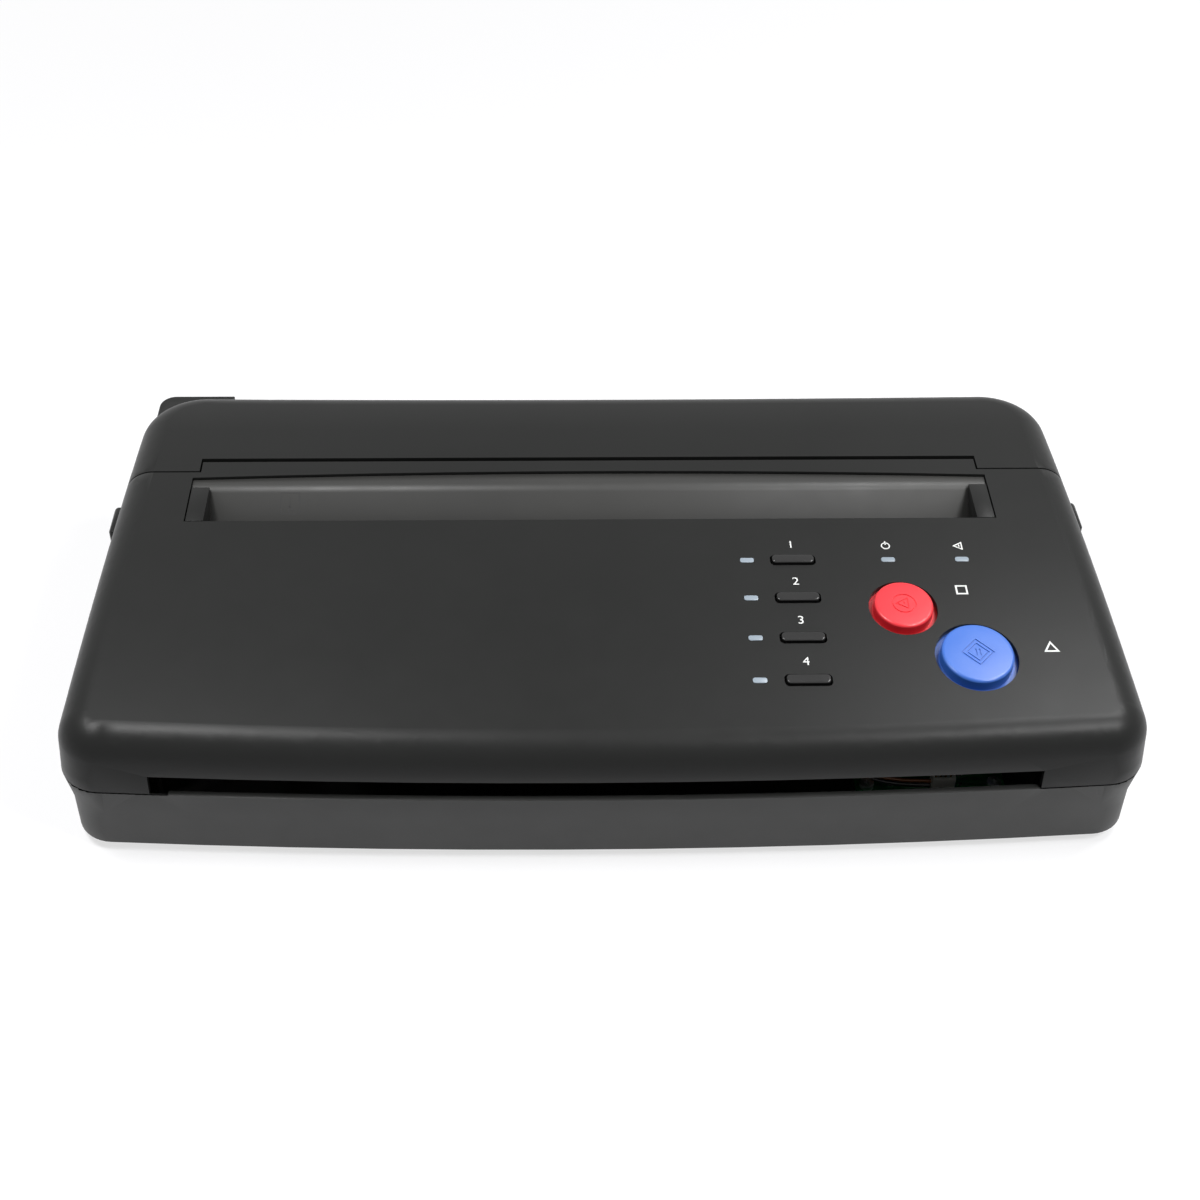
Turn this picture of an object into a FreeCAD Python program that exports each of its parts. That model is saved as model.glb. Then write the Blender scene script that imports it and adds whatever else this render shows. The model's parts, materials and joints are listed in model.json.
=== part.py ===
import FreeCAD, Part
import math
import os

V = FreeCAD.Vector

# Overall form, in millimetres: +Y points to the back, +Z up, the front face looks along -Y
front_width = 422.4
rear_width = 409.2
depth = 215.0
height = 76.0
front_bow = 6.8
rear_bow = 2.0
front_corner_radius = 18.0
rear_corner_radius = 30.0
panel_arc_radius = 1080.0
rear_arc_radius = 190.0
crest_back = 179.0
top_edge_radius = 13.5
wall = 2.5
cover_lean = 3.6
overrun = 10.0
touch = 0.01
slide_gap = 0.3
shaft_clearance = 0.05
press_clearance = 0.02

# Seams between the casings
paper_centre_x = -3.3
seam_height = 37.3
seam_gap = 0.6
cover_seam_back = 150.4
cover_seam_gap = 0.8
notch_half_width = 167.9
tongue_side_gap = 0.8
tongue_end_back = 157.1
stencil_slot = 2.3
slot_lip = 2.0
slot_lip_depth = 10.0
tongue_lip_depth = 5.0

# Exit slot in the front wall
exit_half_width = 170.4
exit_height = 8.8

# Bottom casing levels
foot_height = 3.0
floor = 2.5
base_bottom_inset = 4.3
base_heel_inset = 2.2
base_band_inset = 2.3
base_rim_inset = 0.1
base_heel_rise = 2.2
base_band_height = 23.0
foot_radius = 8.0
foot_edge = 0.8
foot_side = 165.0
foot_front_back = 32.0
foot_rear_back = 184.0

# Casing screws and their bosses
screw_radius = 1.4
thread_clearance = 0.03
screw_hole_clearance = 0.2
screw_head_radius = 2.8
screw_head_height = 2.4
screw_pocket_radius = 3.4
screw_pocket_depth = 6.0
boss_radius = 4.6
screw_reach = 10.0
side_boss_x = 186.0
side_boss_back = 171.0
rear_boss_x = 60.0
rear_boss_inset = 13.0
rear_boss_back = depth - rear_boss_inset

# Front hinge
hinge_back = 14.0
hinge_height = 47.2
hinge_pin_radius = 2.5
hinge_boss_radius = 5.0
hinge_ear_width = 6.0
base_ear_side = 175.5
hinge_post_front = 8.0
hinge_post_rear = 14.0
hinge_arm_fall_deg = 35.0
hinge_ear_gap = 2.0
hinge_head_radius = 4.0
hinge_head_width = 1.4
hinge_sweep_clearance = 0.5
hinge_groove_steps = 13
hinge_groove_reach = 41.0

# Floor and rear wall vents
vent_width = 3.0
vent_length = 40.0
vent_pitch = 8.0
vent_count = 9
floor_vent_x = 20.0
floor_vent_back = 150.0
rear_vent_width = 2.4
rear_vent_height = 12.0
rear_vent_pitch = 5.2
rear_vent_count = 14
rear_vent_x = -165.0
rear_vent_low = 43.0

# Blank port housing on the rear cover
port_low_x = -199.5
port_high_x = -166.0
port_low = 50.0
port_high = 65.0
port_proud = 4.0
port_depth = 22.0
port_corner = 7.0
port_edge = 1.0

# Document recess, tray and its bend
recess_half_width = 170.2
recess_front_back = 119.8
recess_rear_back = 146.9
recess_arc_rise = 3.3
recess_end_wall = 2.0
recess_end_low = 46.0
tray_side_gap = 0.2
tray_sink = 1.0
tray_bend_back = 142.0
tray_low_back = 112.0
tray_slope_deg = 47.0
tray_thickness = 2.0
tray_bend_radius = 6.0
tray_flange = 4.6

# Paper guides with their racks, and the pinion between the racks
guide_width = 7.5
guide_side_gap = 0.5
guide_rear_back = 141.0
guide_lip_gap = 0.6
guide_sink = 0.2
guide_foot = 5.0
guide_foot_high = 69.0
rack_low = 56.0
rack_height = 3.0
rack_body = 2.6
rack_past_centre = 12.0
rack_teeth_from = 62.0
pinion_back = 111.5
pinion_teeth = 12
rack_module = 1.0
pinion_bore_radius = 2.5
pinion_screw_radius = 1.2
pinion_head_radius = 3.4
pinion_head_height = 1.2

# Gear tooth shape shared by the train and the racks, as shares of the module
pressure_angle_deg = 20.0
addendum_share = 0.85
dedendum_share = 1.25
backlash_share = 0.3

# Control panel: mode keys, their lights, stop and copy buttons
key_x = 78.5
key_backs = (95.7, 75.2, 54.7, 34.2)
key_length = 17.2
key_depth = 4.2
key_corner = 1.6
key_ring_gap = 0.75
key_stand = 1.3
key_dome = 0.7
key_flange = 1.6
key_flange_thickness = 1.0
key_stem_radius = 1.5
key_travel = 0.8
light_x = 59.7
power_light_x = 117.7
error_light_x = 148.1
light_length = 5.6
light_depth = 2.5
light_corner = 0.9
light_pipe = 5.0
light_stand = 0.12
light_gap = 0.08
stop_x = 120.1
stop_back = 69.6
stop_radius = 11.8
stop_ring_gap = 2.0
stop_stand = 2.6
copy_x = 145.5
copy_back = 44.8
copy_radius = 14.2
copy_ring_gap = 2.2
copy_stand = 2.8
round_flange = 1.6
round_edge = 1.2
round_travel = 2.0
press_reserve = 0.2

# Control board under the panel
board_drop = 12.0
board_thickness = 1.6
board_low_x = 46.0
board_high_x = 188.0
board_mid_back = 65.0
board_half_depth = 36.5
board_post_radius = 3.2
board_post_inset = 6.0
board_notch_gap = 1.0
switch_side = 6.0
switch_body = 3.4
switch_plunger_radius = 1.7
switch_plunger = 0.9
lamp_length = 3.2
lamp_depth = 1.6
lamp_height = 1.4

# Latches on the cover's sides
latch_back = 139.0
latch_height = 52.0
latch_length = 16.0
latch_tall = 14.0
latch_proud = 3.6
latch_window_gap = 0.4
latch_edge = 1.8
latch_flange = 2.2
latch_flange_thickness = 1.8
latch_arm_inset = 10.0
latch_arm_thickness = 2.0
latch_arm_half_length = 5.0
latch_nose_low = 22.0
latch_nose_height = 3.6
latch_nose_reach = 1.5
latch_ledge_half_length = 8.0
latch_ledge_height = 3.0
latch_rib_thickness = 2.0
latch_rib_half_length = 6.0
latch_rib_low = 48.5
latch_spring_length = 8.0
latch_spring_radius = 2.6
latch_spring_bore = 2.0

# Side frames
frame_x = 124.0
frame_thickness = 2.0
frame_front_back = 50.0
frame_rear_back = 162.0
frame_low = 8.0
frame_flange_width = 12.0
frame_post_radius = 4.0
frame_feed_top = 41.0
frame_dip_top = 38.2
frame_dip_before = 5.0
frame_dip_after = 9.0
frame_rear_top = 52.0
frame_rise = 14.0
frame_post_back_front = 58.0
frame_post_back_rear = 152.0
frame_post_offset = 7.0

# Platen roller and document feed roller
platen_back = 130.0
platen_height = 28.0
platen_radius = 8.0
platen_end_gap = 12.0
platen_half_length = frame_x - platen_end_gap
roller_shaft_radius = 3.0
shaft_overhang = 4.0
feed_radius = 7.0
feed_tyre_length = 26.0
feed_tyre_xs = (-90.0, -30.0, 30.0, 90.0)
bush_radius = 5.0
bush_flange_radius = 6.3
bush_flange = 1.0

# Gear train on the left frame, each gear placed from the one before it
gear_module = 1.0
gear_width = 6.0
gear_gap = 1.6
platen_teeth = 35
feed_teeth = 30
idler_teeth = 20
motor_teeth = 14
feed_from_platen_deg = 170.0
idler_from_feed_deg = 212.4
motor_from_idler_deg = 174.0
idler_stud_radius = 2.0
stud_head_radius = 3.2
stud_head = 1.0

# Stepper motor
motor_side = 28.0
motor_corner = 3.0
motor_length = 30.0
motor_collar_radius = 9.0
motor_collar = 1.6
motor_shaft_radius = 2.5
motor_bearing_depth = 10.0

# Print head
head_thickness = 1.5
head_low = 18.0
head_tall = 22.0
sink_end_gap = 10.0
sink_half_length = frame_x - sink_end_gap
sink_depth = 10.4
sink_low = 16.0
sink_tall = 26.0
sink_groove = 2.2
sink_groove_depth = 5.6
sink_groove_count = 5
head_spring_radius = 4.0
head_spring_bore = 3.2
head_spring_length = 8.0
head_spring_xs = (-80.0, 0.0, 80.0)
beam_thickness = 2.0
beam_low = 8.0
beam_tall = 38.0
beam_end_gap = 0.1

# Paper chutes
chute_thickness = 1.2
chute_front_back = 30.0
chute_front_height = 38.2
chute_rear_back = 88.0
chute_rear_height = 39.6
stencil_top_back = 160.0
stencil_top_height = 64.0
stencil_low_back = 142.0
stencil_low_height = 45.0

# Image sensor bar
sensor_end_gap = 14.0
sensor_half_length = frame_x - sensor_end_gap
sensor_half_depth = 8.0
sensor_glass = 1.6
sensor_tall = 12.0
sensor_rib_x = 98.0
sensor_rib_width = 4.0
sensor_rib_half_depth = 3.0

# Main board with its connectors
main_low_x = 98.0
main_high_x = 157.0
main_front_back = 11.0
main_rear_back = 47.0
main_height = 24.4
main_post_radius = 3.0
main_post_inset = 4.5
plug_width = 9.0
plug_depth = 5.0
plug_tall = 8.0
plug_xs = (131.7, 112.0)
plug_backs = (14.5, 40.0)
chip_side = 12.0
chip_tall = 1.8
chip_spots_share = ((0.3, 0.5), (0.62, 0.42))

# Power supply board and what stands on it
supply_low_x = 139.0
supply_high_x = 189.0
supply_front_back = 66.0
supply_rear_back = 162.0
supply_height = 11.0
supply_post_radius = 3.0
supply_post_inset = 5.0
transformer_size = (36.0, 30.0, 24.0)
transformer_back = 120.0
transformer_core = 10.0
capacitor_radius = 8.0
capacitor_tall = 22.0
capacitor_edge = 0.8
capacitor_backs = (78.0, 96.0)
capacitor_inset = 14.0
supply_sink_size = (2.0, 30.0, 26.0)
supply_sink_fin = 8.0
supply_sink_fin_count = 5
terminal_size = (24.0, 9.0, 10.0)

# Rear bay with power inlet and rocker switch
bay_low_x = 90.0
bay_high_x = 174.0
bay_face_inset = 2.2
bay_face_back = depth - bay_face_inset
bay_depth = 14.0
bay_front_back = depth - bay_depth
inlet_x = 150.0
rear_bay_height = 19.0
inlet_flange_width = 30.0
inlet_flange_tall = 23.0
inlet_width = 27.0
inlet_tall = 19.4
inlet_depth = 15.0
inlet_fit_gap = 0.2
socket_width = 23.6
socket_tall = 15.8
socket_depth = 13.0
socket_corner = 3.6
blade_width = 2.0
blade_tall = 4.0
blade_length = 9.5
blade_side = 7.0
blade_drop = 1.2
blade_rise = 2.6
switch_x = 110.0
rocker_housing_width = 15.0
rocker_housing_tall = 21.0
rocker_body_width = 12.8
rocker_body_tall = 18.8
rocker_body_depth = 15.0
rocker_width = 9.0
rocker_tall = 14.6
rocker_gap = 0.4
rocker_depth = 6.6
rocker_pin_radius = 1.2
rocker_pin_inset = 3.4
rocker_tilt_deg = 9.0
rocker_stand = 1.0

# Leads
lead_radius = 0.8
lead_spacing = 2.4
bend_setback_share = 0.45


def back(distance):
    """Y of a place that lies this far behind the front face; the port housing counts in the middle."""
    return distance - (depth + port_proud) / 2


def block(x_low, x_high, y_low, y_high, z_low, z_high):
    """A box between two opposite corners."""
    return Part.makeBox(x_high - x_low, y_high - y_low, z_high - z_low, V(x_low, y_low, z_low))


def rod(radius, start, direction, length):
    """A cylinder from a start point along a direction."""
    return Part.makeCylinder(radius, length, start, direction)


def rounded_bar(length, width_y, z_low, z_high, corner):
    """An upright bar, centred on the Z axis, with rounded vertical edges."""
    bar = block(-length / 2, length / 2, -width_y / 2, width_y / 2, z_low, z_high)
    upright = [edge for edge in bar.Edges if edge.BoundBox.ZLength > max(edge.BoundBox.XLength,
                                                                         edge.BoundBox.YLength)]
    return bar.makeFillet(corner, upright)


def top_rounded(solid, z_top, radius):
    """The solid with the edges of its top face rounded."""
    edges = [edge for edge in solid.Edges if edge.BoundBox.ZMin > z_top - touch]
    return solid.makeFillet(radius, edges)


def mirrored(shape):
    """The same shape on the other side of the YZ plane."""
    return shape.mirror(V(0, 0, 0), V(1, 0, 0))


def fused(shapes):
    """One solid from shapes that meet."""
    first = shapes[0]
    whole = first.fuse(shapes[1:])
    return whole.removeSplitter()


def pair(shape):
    """The shape and its mirror image, as two solids."""
    return Part.makeCompound([shape, mirrored(shape)])


def plate_along_x(points, x_low, x_high):
    """A prism along X from an outline of (distance behind the front, height) pairs."""
    corners = [V(x_low, back(distance), z) for distance, z in points]
    outline = Part.makePolygon(corners + corners[:1])
    return Part.Face(outline).extrude(V(x_high - x_low, 0, 0))


# Gears, drawn in the YZ plane and extruded along X

def involute(angle):
    return math.tan(angle) - angle


def gear(teeth, module, face_width, bore_radius, phase):
    """A spur gear from X zero, with the centre of one tooth at the angle phase from +Y towards +Z."""
    pitch_radius = module * teeth / 2
    pressure = math.radians(pressure_angle_deg)
    base_radius = pitch_radius * math.cos(pressure)
    tip_radius = pitch_radius + addendum_share * module
    root_radius = pitch_radius - dedendum_share * module
    half_pitch = math.pi / (2 * teeth) - backlash_share * module / (4 * pitch_radius)

    def half_angle(radius):
        if radius <= base_radius:
            return half_pitch + involute(pressure)
        return half_pitch + involute(pressure) - involute(math.acos(base_radius / radius))

    radii = [root_radius, max(base_radius, root_radius), pitch_radius, tip_radius]
    if radii[1] - radii[0] < touch:
        radii = radii[1:]
    points = []
    for index in range(teeth):
        centre = phase + 2 * math.pi * index / teeth
        rising = [(radius, centre - half_angle(radius)) for radius in radii]
        falling = [(radius, centre + half_angle(radius)) for radius in reversed(radii)]
        points += [V(0, radius * math.cos(angle), radius * math.sin(angle)) for radius,
                   angle in rising + falling]
    wheel = Part.Face(Part.makePolygon(points + points[:1])).extrude(V(face_width, 0, 0))
    return wheel.cut(rod(bore_radius, V(-face_width, 0, 0), V(1, 0, 0), 3 * face_width))


def next_axis(axis, teeth, other_teeth, direction_deg):
    """Axis of a gear in mesh with another, in a direction seen from the other, as Y and Z."""
    distance = gear_module * (teeth + other_teeth) / 2
    direction = math.radians(direction_deg)
    return axis[0] + distance * math.cos(direction), axis[1] + distance * math.sin(direction)


def mesh_phase(first, first_teeth, first_phase, second, second_teeth):
    """Phase of a second gear, in mesh with the first."""
    line = math.atan2(second[1] - first[1], second[0] - first[0])
    return line + math.pi + math.pi / second_teeth - first_teeth / second_teeth * (first_phase - line)


platen_axis = (back(platen_back), platen_height)
feed_axis = next_axis(platen_axis, platen_teeth, feed_teeth, feed_from_platen_deg)
idler_axis = next_axis(feed_axis, feed_teeth, idler_teeth, idler_from_feed_deg)
motor_axis = next_axis(idler_axis, idler_teeth, motor_teeth, motor_from_idler_deg)
feed_phase = mesh_phase(platen_axis, platen_teeth, 0, feed_axis, feed_teeth)
idler_phase = mesh_phase(feed_axis, feed_teeth, feed_phase, idler_axis, idler_teeth)
motor_phase = mesh_phase(idler_axis, idler_teeth, idler_phase, motor_axis, motor_teeth)
gear_x = -frame_x - frame_thickness - gear_gap - gear_width
sensor_low = feed_axis[1] + feed_radius + slide_gap


# The plan outline and the forms that follow it

def plan_outline():
    """The outline seen from above, with rounded corners, at height zero."""
    front_left = V(-front_width / 2, back(front_bow), 0)
    front_right = V(front_width / 2, back(front_bow), 0)
    rear_right = V(rear_width / 2, back(depth), 0)
    rear_left = V(-rear_width / 2, back(depth), 0)
    front = Part.Arc(front_left, V(0, back(0), 0), front_right).toShape()
    rear = Part.Arc(rear_right, V(0, back(depth - rear_bow), 0), rear_left).toShape()
    right = Part.makeLine(front_right, rear_right)
    left = Part.makeLine(rear_left, front_left)
    prism = Part.Face(Part.Wire([front, right, rear, left])).extrude(V(0, 0, height))
    upright = [edge for edge in prism.Edges if edge.BoundBox.ZLength > height / 2]
    prism = prism.makeFillet(front_corner_radius, [edge for edge in upright if edge.BoundBox.YMax < 0])
    upright = [edge for edge in prism.Edges if edge.BoundBox.ZLength > height / 2]
    sharp = [edge for edge in upright if edge.BoundBox.YMax > back(depth) - touch]
    prism = prism.makeFillet(rear_corner_radius, sharp)
    bottom = min(prism.Faces, key=lambda face: face.BoundBox.ZMax)
    return bottom.OuterWire


PLAN = plan_outline()


def plan_section(inset, z):
    """The plan outline moved inwards by the inset, at a height."""
    face = Part.Face(PLAN)
    if inset != 0:
        face = face.makeOffset2D(-inset)
    wire = face.OuterWire
    wire.translate(V(0, 0, z))
    return wire


def tapered(levels):
    """A solid through plan outlines, given as (inset, height) pairs from the bottom up."""
    slices = []
    for low, high in zip(levels, levels[1:]):
        sections = [plan_section(low[0], low[1]), plan_section(high[0], high[1])]
        slices.append(Part.makeLoft(sections, True, True))
    return fused(slices) if len(slices) > 1 else slices[0]


def under_top(inset):
    """Everything below the top surface, lowered by the inset, as a prism along X."""
    crest = V(-front_width, back(crest_back), height - inset)

    def arc_point(radius, along):
        angle = along / radius
        return V(crest.x, crest.y + radius * math.sin(angle), crest.z - radius * (1 - math.cos(angle)))

    front_reach = -(crest_back + overrun)
    rear_reach = depth - crest_back + overrun
    panel_radius = panel_arc_radius - inset
    rear_radius = rear_arc_radius - inset
    front_end = arc_point(panel_radius, front_reach)
    rear_end = arc_point(rear_radius, rear_reach)
    panel = Part.Arc(front_end, arc_point(panel_radius, front_reach / 2), crest).toShape()
    rear = Part.Arc(crest, arc_point(rear_radius, rear_reach / 2), rear_end).toShape()
    low_rear = V(crest.x, rear_end.y, 0)
    low_front = V(crest.x, front_end.y, 0)
    sides = [Part.makeLine(rear_end, low_rear), Part.makeLine(low_rear, low_front),
             Part.makeLine(low_front, front_end)]
    return Part.Face(Part.Wire([panel, rear] + sides)).extrude(V(2 * front_width, 0, 0))


def cover_form(inset):
    """The closed outer form of both covers, moved inwards by the inset on every side but the bottom."""
    low = seam_height if inset == 0 else seam_height - wall
    high = height + wall
    lean = cover_lean / (height - seam_height)
    levels = [(inset + lean * (low - seam_height), low), (inset + lean * (high - seam_height), high)]
    solid = tapered(levels).common(under_top(inset))
    crest_y = back(crest_back)
    rim = []
    for edge in solid.Edges:
        box = edge.BoundBox
        on_crest = abs(box.YMin - crest_y) < touch and abs(box.YMax - crest_y) < touch
        if box.ZMin > seam_height + top_edge_radius and not on_crest:
            rim.append(edge)
    return solid.makeFillet(top_edge_radius - inset, rim)


def panel_height_at(y):
    """Height of the control panel's surface at a Y in front of the crest."""
    reach = back(crest_back) - y
    return height - panel_arc_radius + math.sqrt(panel_arc_radius ** 2 - reach ** 2)


def panel_tilt_at(y):
    """Slope of the control panel at a Y, in degrees."""
    return math.degrees(math.asin((back(crest_back) - y) / panel_arc_radius))


def on_panel(shape, x, distance):
    """The shape, made about the Z axis with the surface at height zero, put on the panel."""
    y = back(distance)
    placed = shape.copy()
    turn = FreeCAD.Rotation(V(1, 0, 0), panel_tilt_at(y))
    placed.Placement = FreeCAD.Placement(V(x, y, panel_height_at(y)), turn)
    return placed


FORM = cover_form(0)
HOLLOW = cover_form(wall)


def side_wall_x(distance, z):
    """X of the cover's outer side wall at a distance behind the front and a height."""
    along = (distance - front_bow) / (depth - front_bow)
    half = (front_width + (rear_width - front_width) * along) / 2
    return half - cover_lean * (z - seam_height) / (height - seam_height)


# Where the hinge, screws and posts stand

def hinge_centre(x):
    return V(x, back(hinge_back), hinge_height)


def boss_spots():
    spots = []
    for x, distance in ((side_boss_x, side_boss_back), (rear_boss_x, rear_boss_back)):
        spots.append((x, back(distance)))
        spots.append((-x, back(distance)))
    return spots


def main_post_spots():
    xs = (main_low_x + main_post_inset, main_high_x - main_post_inset)
    ys = (back(main_front_back + main_post_inset), back(main_rear_back - main_post_inset))
    return [(x, y) for x in xs for y in ys]


def supply_post_spots():
    xs = (supply_low_x + supply_post_inset, supply_high_x - supply_post_inset)
    ys = (back(supply_front_back + supply_post_inset), back(supply_rear_back - supply_post_inset))
    return [(x, y) for x in xs for y in ys]


def frame_post_spots():
    x = frame_x + frame_post_offset + frame_thickness
    ys = (back(frame_post_back_front), back(frame_post_back_rear))
    return [(side * x, y) for side in (-1, 1) for y in ys]


def control_post_spots():
    xs = (board_low_x + board_post_inset, board_high_x - board_post_inset)
    offsets = (-board_half_depth + board_post_inset, board_half_depth - board_post_inset)
    return [(x, offset) for x in xs for offset in offsets]


# Bottom casing

base_floor_top = foot_height + floor
base_rim_height = seam_height - seam_gap


def base_levels(inset, low_inset, low, high):
    """Plan insets and heights of the casing's bands."""
    band = (base_band_inset + inset, base_band_height)
    rim_lean = (base_band_inset - base_rim_inset) / (base_rim_height - base_band_height)
    top_inset = base_band_inset - rim_lean * (high - base_band_height)
    return [(low_inset + inset, low), band, (top_inset + inset, high)]


def hinge_grooves():
    """Room in the rim for the cover's front corners as they swing about the hinge."""
    grooves = []
    start = exit_half_width - abs(paper_centre_x) - slide_gap
    step = hinge_groove_reach / hinge_groove_steps
    for index in range(hinge_groove_steps):
        x = start + index * step
        strip = block(x, x + step, back(0) - overrun, back(hinge_back), seam_height, seam_height + seam_gap)
        corner_y = FORM.common(strip).BoundBox.YMin
        reach_y = back(hinge_back) - corner_y
        if reach_y <= touch:
            continue
        radius = math.hypot(reach_y, hinge_height - seam_height) + hinge_sweep_clearance
        groove = rod(radius, hinge_centre(x), V(1, 0, 0), step)
        behind = block(x, x + step, back(hinge_back), back(depth), 0, height)
        grooves.append(groove.cut(behind))
    return grooves + [mirrored(groove) for groove in grooves]


def base_ear():
    """A hinge ear on a post, behind the room that the cover's front wall swings through."""
    fall = math.radians(hinge_arm_fall_deg)
    near = (hinge_back - hinge_boss_radius * math.sin(fall),
            hinge_height - hinge_boss_radius * math.cos(fall))
    front = hinge_back + hinge_post_front
    knee = near[1] - (front - near[0]) * math.tan(fall)
    outline = [near, (front, knee), (front, foot_height), (hinge_back + hinge_post_rear, foot_height),
               (hinge_back + hinge_post_rear, hinge_height), (hinge_back, hinge_height + hinge_boss_radius)]
    post = plate_along_x(outline, base_ear_side, base_ear_side + hinge_ear_width)
    return post.fuse(rod(hinge_boss_radius, hinge_centre(base_ear_side), V(1, 0, 0), hinge_ear_width))


def build_bottom_casing():
    heel = foot_height + base_heel_rise
    outer = fused([
        tapered([(base_bottom_inset, foot_height), (base_heel_inset, heel)]),
        tapered(base_levels(0, base_heel_inset, heel, base_rim_height)),
    ])
    inner = tapered(base_levels(wall, base_heel_inset, base_floor_top, base_rim_height + wall))
    casing = outer.cut(inner)
    room = outer.fuse(block(-front_width, front_width, back(0), back(depth), base_rim_height, height))
    added = []
    for x, y in boss_spots():
        added.append(rod(boss_radius, V(x, y, foot_height), V(0, 0, 1),
                         seam_height - foot_height).common(room))
    for x, y in main_post_spots():
        added.append(rod(main_post_radius, V(x, y, foot_height), V(0, 0, 1), main_height - foot_height))
    for x, y in supply_post_spots():
        added.append(rod(supply_post_radius, V(x, y, foot_height), V(0, 0, 1), supply_height - foot_height))
    for x, y in frame_post_spots():
        added.append(rod(frame_post_radius, V(x, y, foot_height), V(0, 0, 1), frame_low - foot_height))
    ear = base_ear().common(room)
    added += [ear, mirrored(ear)]
    ledge_low = latch_nose_low + latch_nose_height + slide_gap
    ledge_x = latch_arm_outer_x() + latch_nose_reach
    ledge = block(ledge_x + slide_gap, front_width / 2, back(latch_back) - latch_ledge_half_length,
                  back(latch_back) + latch_ledge_half_length, ledge_low, ledge_low + latch_ledge_height)
    ledge = ledge.common(outer)
    added += [ledge, mirrored(ledge)]
    bay_wall = block(bay_low_x, bay_high_x, back(bay_front_back), back(bay_face_back), heel, base_rim_height)
    bay_room = block(bay_low_x + wall, bay_high_x - wall, back(bay_front_back) - wall,
                     back(bay_face_back) - wall, heel + wall, height)
    behind_bay = block(bay_low_x, bay_high_x, back(bay_face_back), back(depth) + overrun, 0, height)
    casing = fused([casing, bay_wall] + added)
    cuts = [bay_room, behind_bay]
    pin_hole = rod(hinge_pin_radius + press_clearance, hinge_centre(base_ear_side - overrun), V(1, 0, 0),
                   hinge_ear_width + 2 * overrun)
    cuts += [pin_hole, mirrored(pin_hole)]
    cuts += hinge_grooves()
    for x, y in boss_spots():
        cuts.append(rod(screw_pocket_radius, V(x, y, 0), V(0, 0, 1), foot_height + screw_pocket_depth))
        cuts.append(rod(screw_radius + screw_hole_clearance, V(x, y, 0), V(0, 0, 1), height))
    for x, y in main_post_spots() + supply_post_spots() + frame_post_spots():
        cuts.append(rod(screw_radius + thread_clearance, V(x, y, base_floor_top), V(0, 0, 1), height))
    for side in (-1, 1):
        for index in range(vent_count):
            x = side * (floor_vent_x + index * vent_pitch)
            cuts.append(block(x - vent_width / 2, x + vent_width / 2, back(floor_vent_back) - vent_length / 2,
                              back(floor_vent_back) + vent_length / 2, 0, base_floor_top + touch))
    cuts.append(block(inlet_x - inlet_width / 2 - inlet_fit_gap, inlet_x + inlet_width / 2 + inlet_fit_gap,
                      back(bay_front_back), back(depth),
                      rear_bay_height - inlet_tall / 2 - inlet_fit_gap,
                      rear_bay_height + inlet_tall / 2 + inlet_fit_gap))
    cuts.append(block(switch_x - rocker_body_width / 2 - inlet_fit_gap,
                      switch_x + rocker_body_width / 2 + inlet_fit_gap,
                      back(bay_front_back), back(depth),
                      rear_bay_height - rocker_body_tall / 2 - inlet_fit_gap,
                      rear_bay_height + rocker_body_tall / 2 + inlet_fit_gap))
    return casing.cut(cuts)


def build_feet():
    feet = []
    for side in (-1, 1):
        for distance in (foot_front_back, foot_rear_back):
            foot = rod(foot_radius, V(side * foot_side, back(distance), 0), V(0, 0, 1), foot_height)
            edge = [line for line in foot.Edges if line.BoundBox.ZMax < touch]
            feet.append(foot.makeFillet(foot_edge, edge))
    return Part.makeCompound(feet)


def screw(x, y, head_z, up, reach, radius, head_radius, head_height):
    """A screw whose head's bearing face lies at head_z, with the shank along up."""
    direction = V(0, 0, up)
    shank = rod(radius, V(x, y, head_z), direction, reach)
    head = rod(head_radius, V(x, y, head_z), V(0, 0, -up), head_height)
    return shank.fuse(head).removeSplitter()


def build_casing_screws():
    seat = foot_height + screw_pocket_depth
    reach = seam_height + screw_reach - seat
    screws = [screw(x, y, seat, 1, reach, screw_radius, screw_head_radius, screw_head_height) for x,
              y in boss_spots()]
    return screws


# Rear cover

def port_housing():
    """The low dark housing that shows over the rear left corner."""
    housing = block(port_low_x, port_high_x, back(depth) - port_depth, back(depth) + port_proud, port_low,
                    port_high)
    corner = [edge for edge in housing.Edges
              if edge.BoundBox.XMax < port_low_x + touch and edge.BoundBox.YMin > back(depth) - touch]
    upright = [edge for edge in corner if edge.BoundBox.ZLength > touch]
    housing = housing.makeFillet(port_corner, upright)
    housing = top_rounded(housing, port_high, port_edge)
    return housing.cut(HOLLOW)


def build_rear_cover():
    shell = FORM.cut(HOLLOW)
    seam = cover_seam_back + cover_seam_gap
    notch_y = back(tongue_end_back + stencil_slot)
    front = block(-front_width, front_width, back(0) - overrun, back(seam), 0, height + overrun)
    notch_low = paper_centre_x - notch_half_width
    notch_high = paper_centre_x + notch_half_width
    notch = block(notch_low, notch_high, back(seam) - overrun, notch_y, seam_height, height + overrun)
    low = panel_height_at(notch_y) - slot_lip_depth
    lip = block(notch_low, notch_high, notch_y, notch_y + slot_lip, low, height).common(FORM)
    added = [lip, port_housing()]
    for x, y in boss_spots():
        added.append(rod(boss_radius, V(x, y, seam_height), V(0, 0, 1), height - seam_height).common(FORM))
    cover = fused([shell.cut([front, notch])] + added)
    cuts = []
    for x, y in boss_spots():
        cuts.append(rod(screw_radius + thread_clearance, V(x, y, seam_height), V(0, 0, 1),
                        screw_reach + wall))
    for index in range(rear_vent_count):
        x = rear_vent_x + index * rear_vent_pitch
        cuts.append(block(x - rear_vent_width / 2, x + rear_vent_width / 2,
                          back(depth - rear_corner_radius / 2),
                          back(depth) + overrun, rear_vent_low, rear_vent_low + rear_vent_height))
    return cover.cut(cuts)


# Front cover

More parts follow.
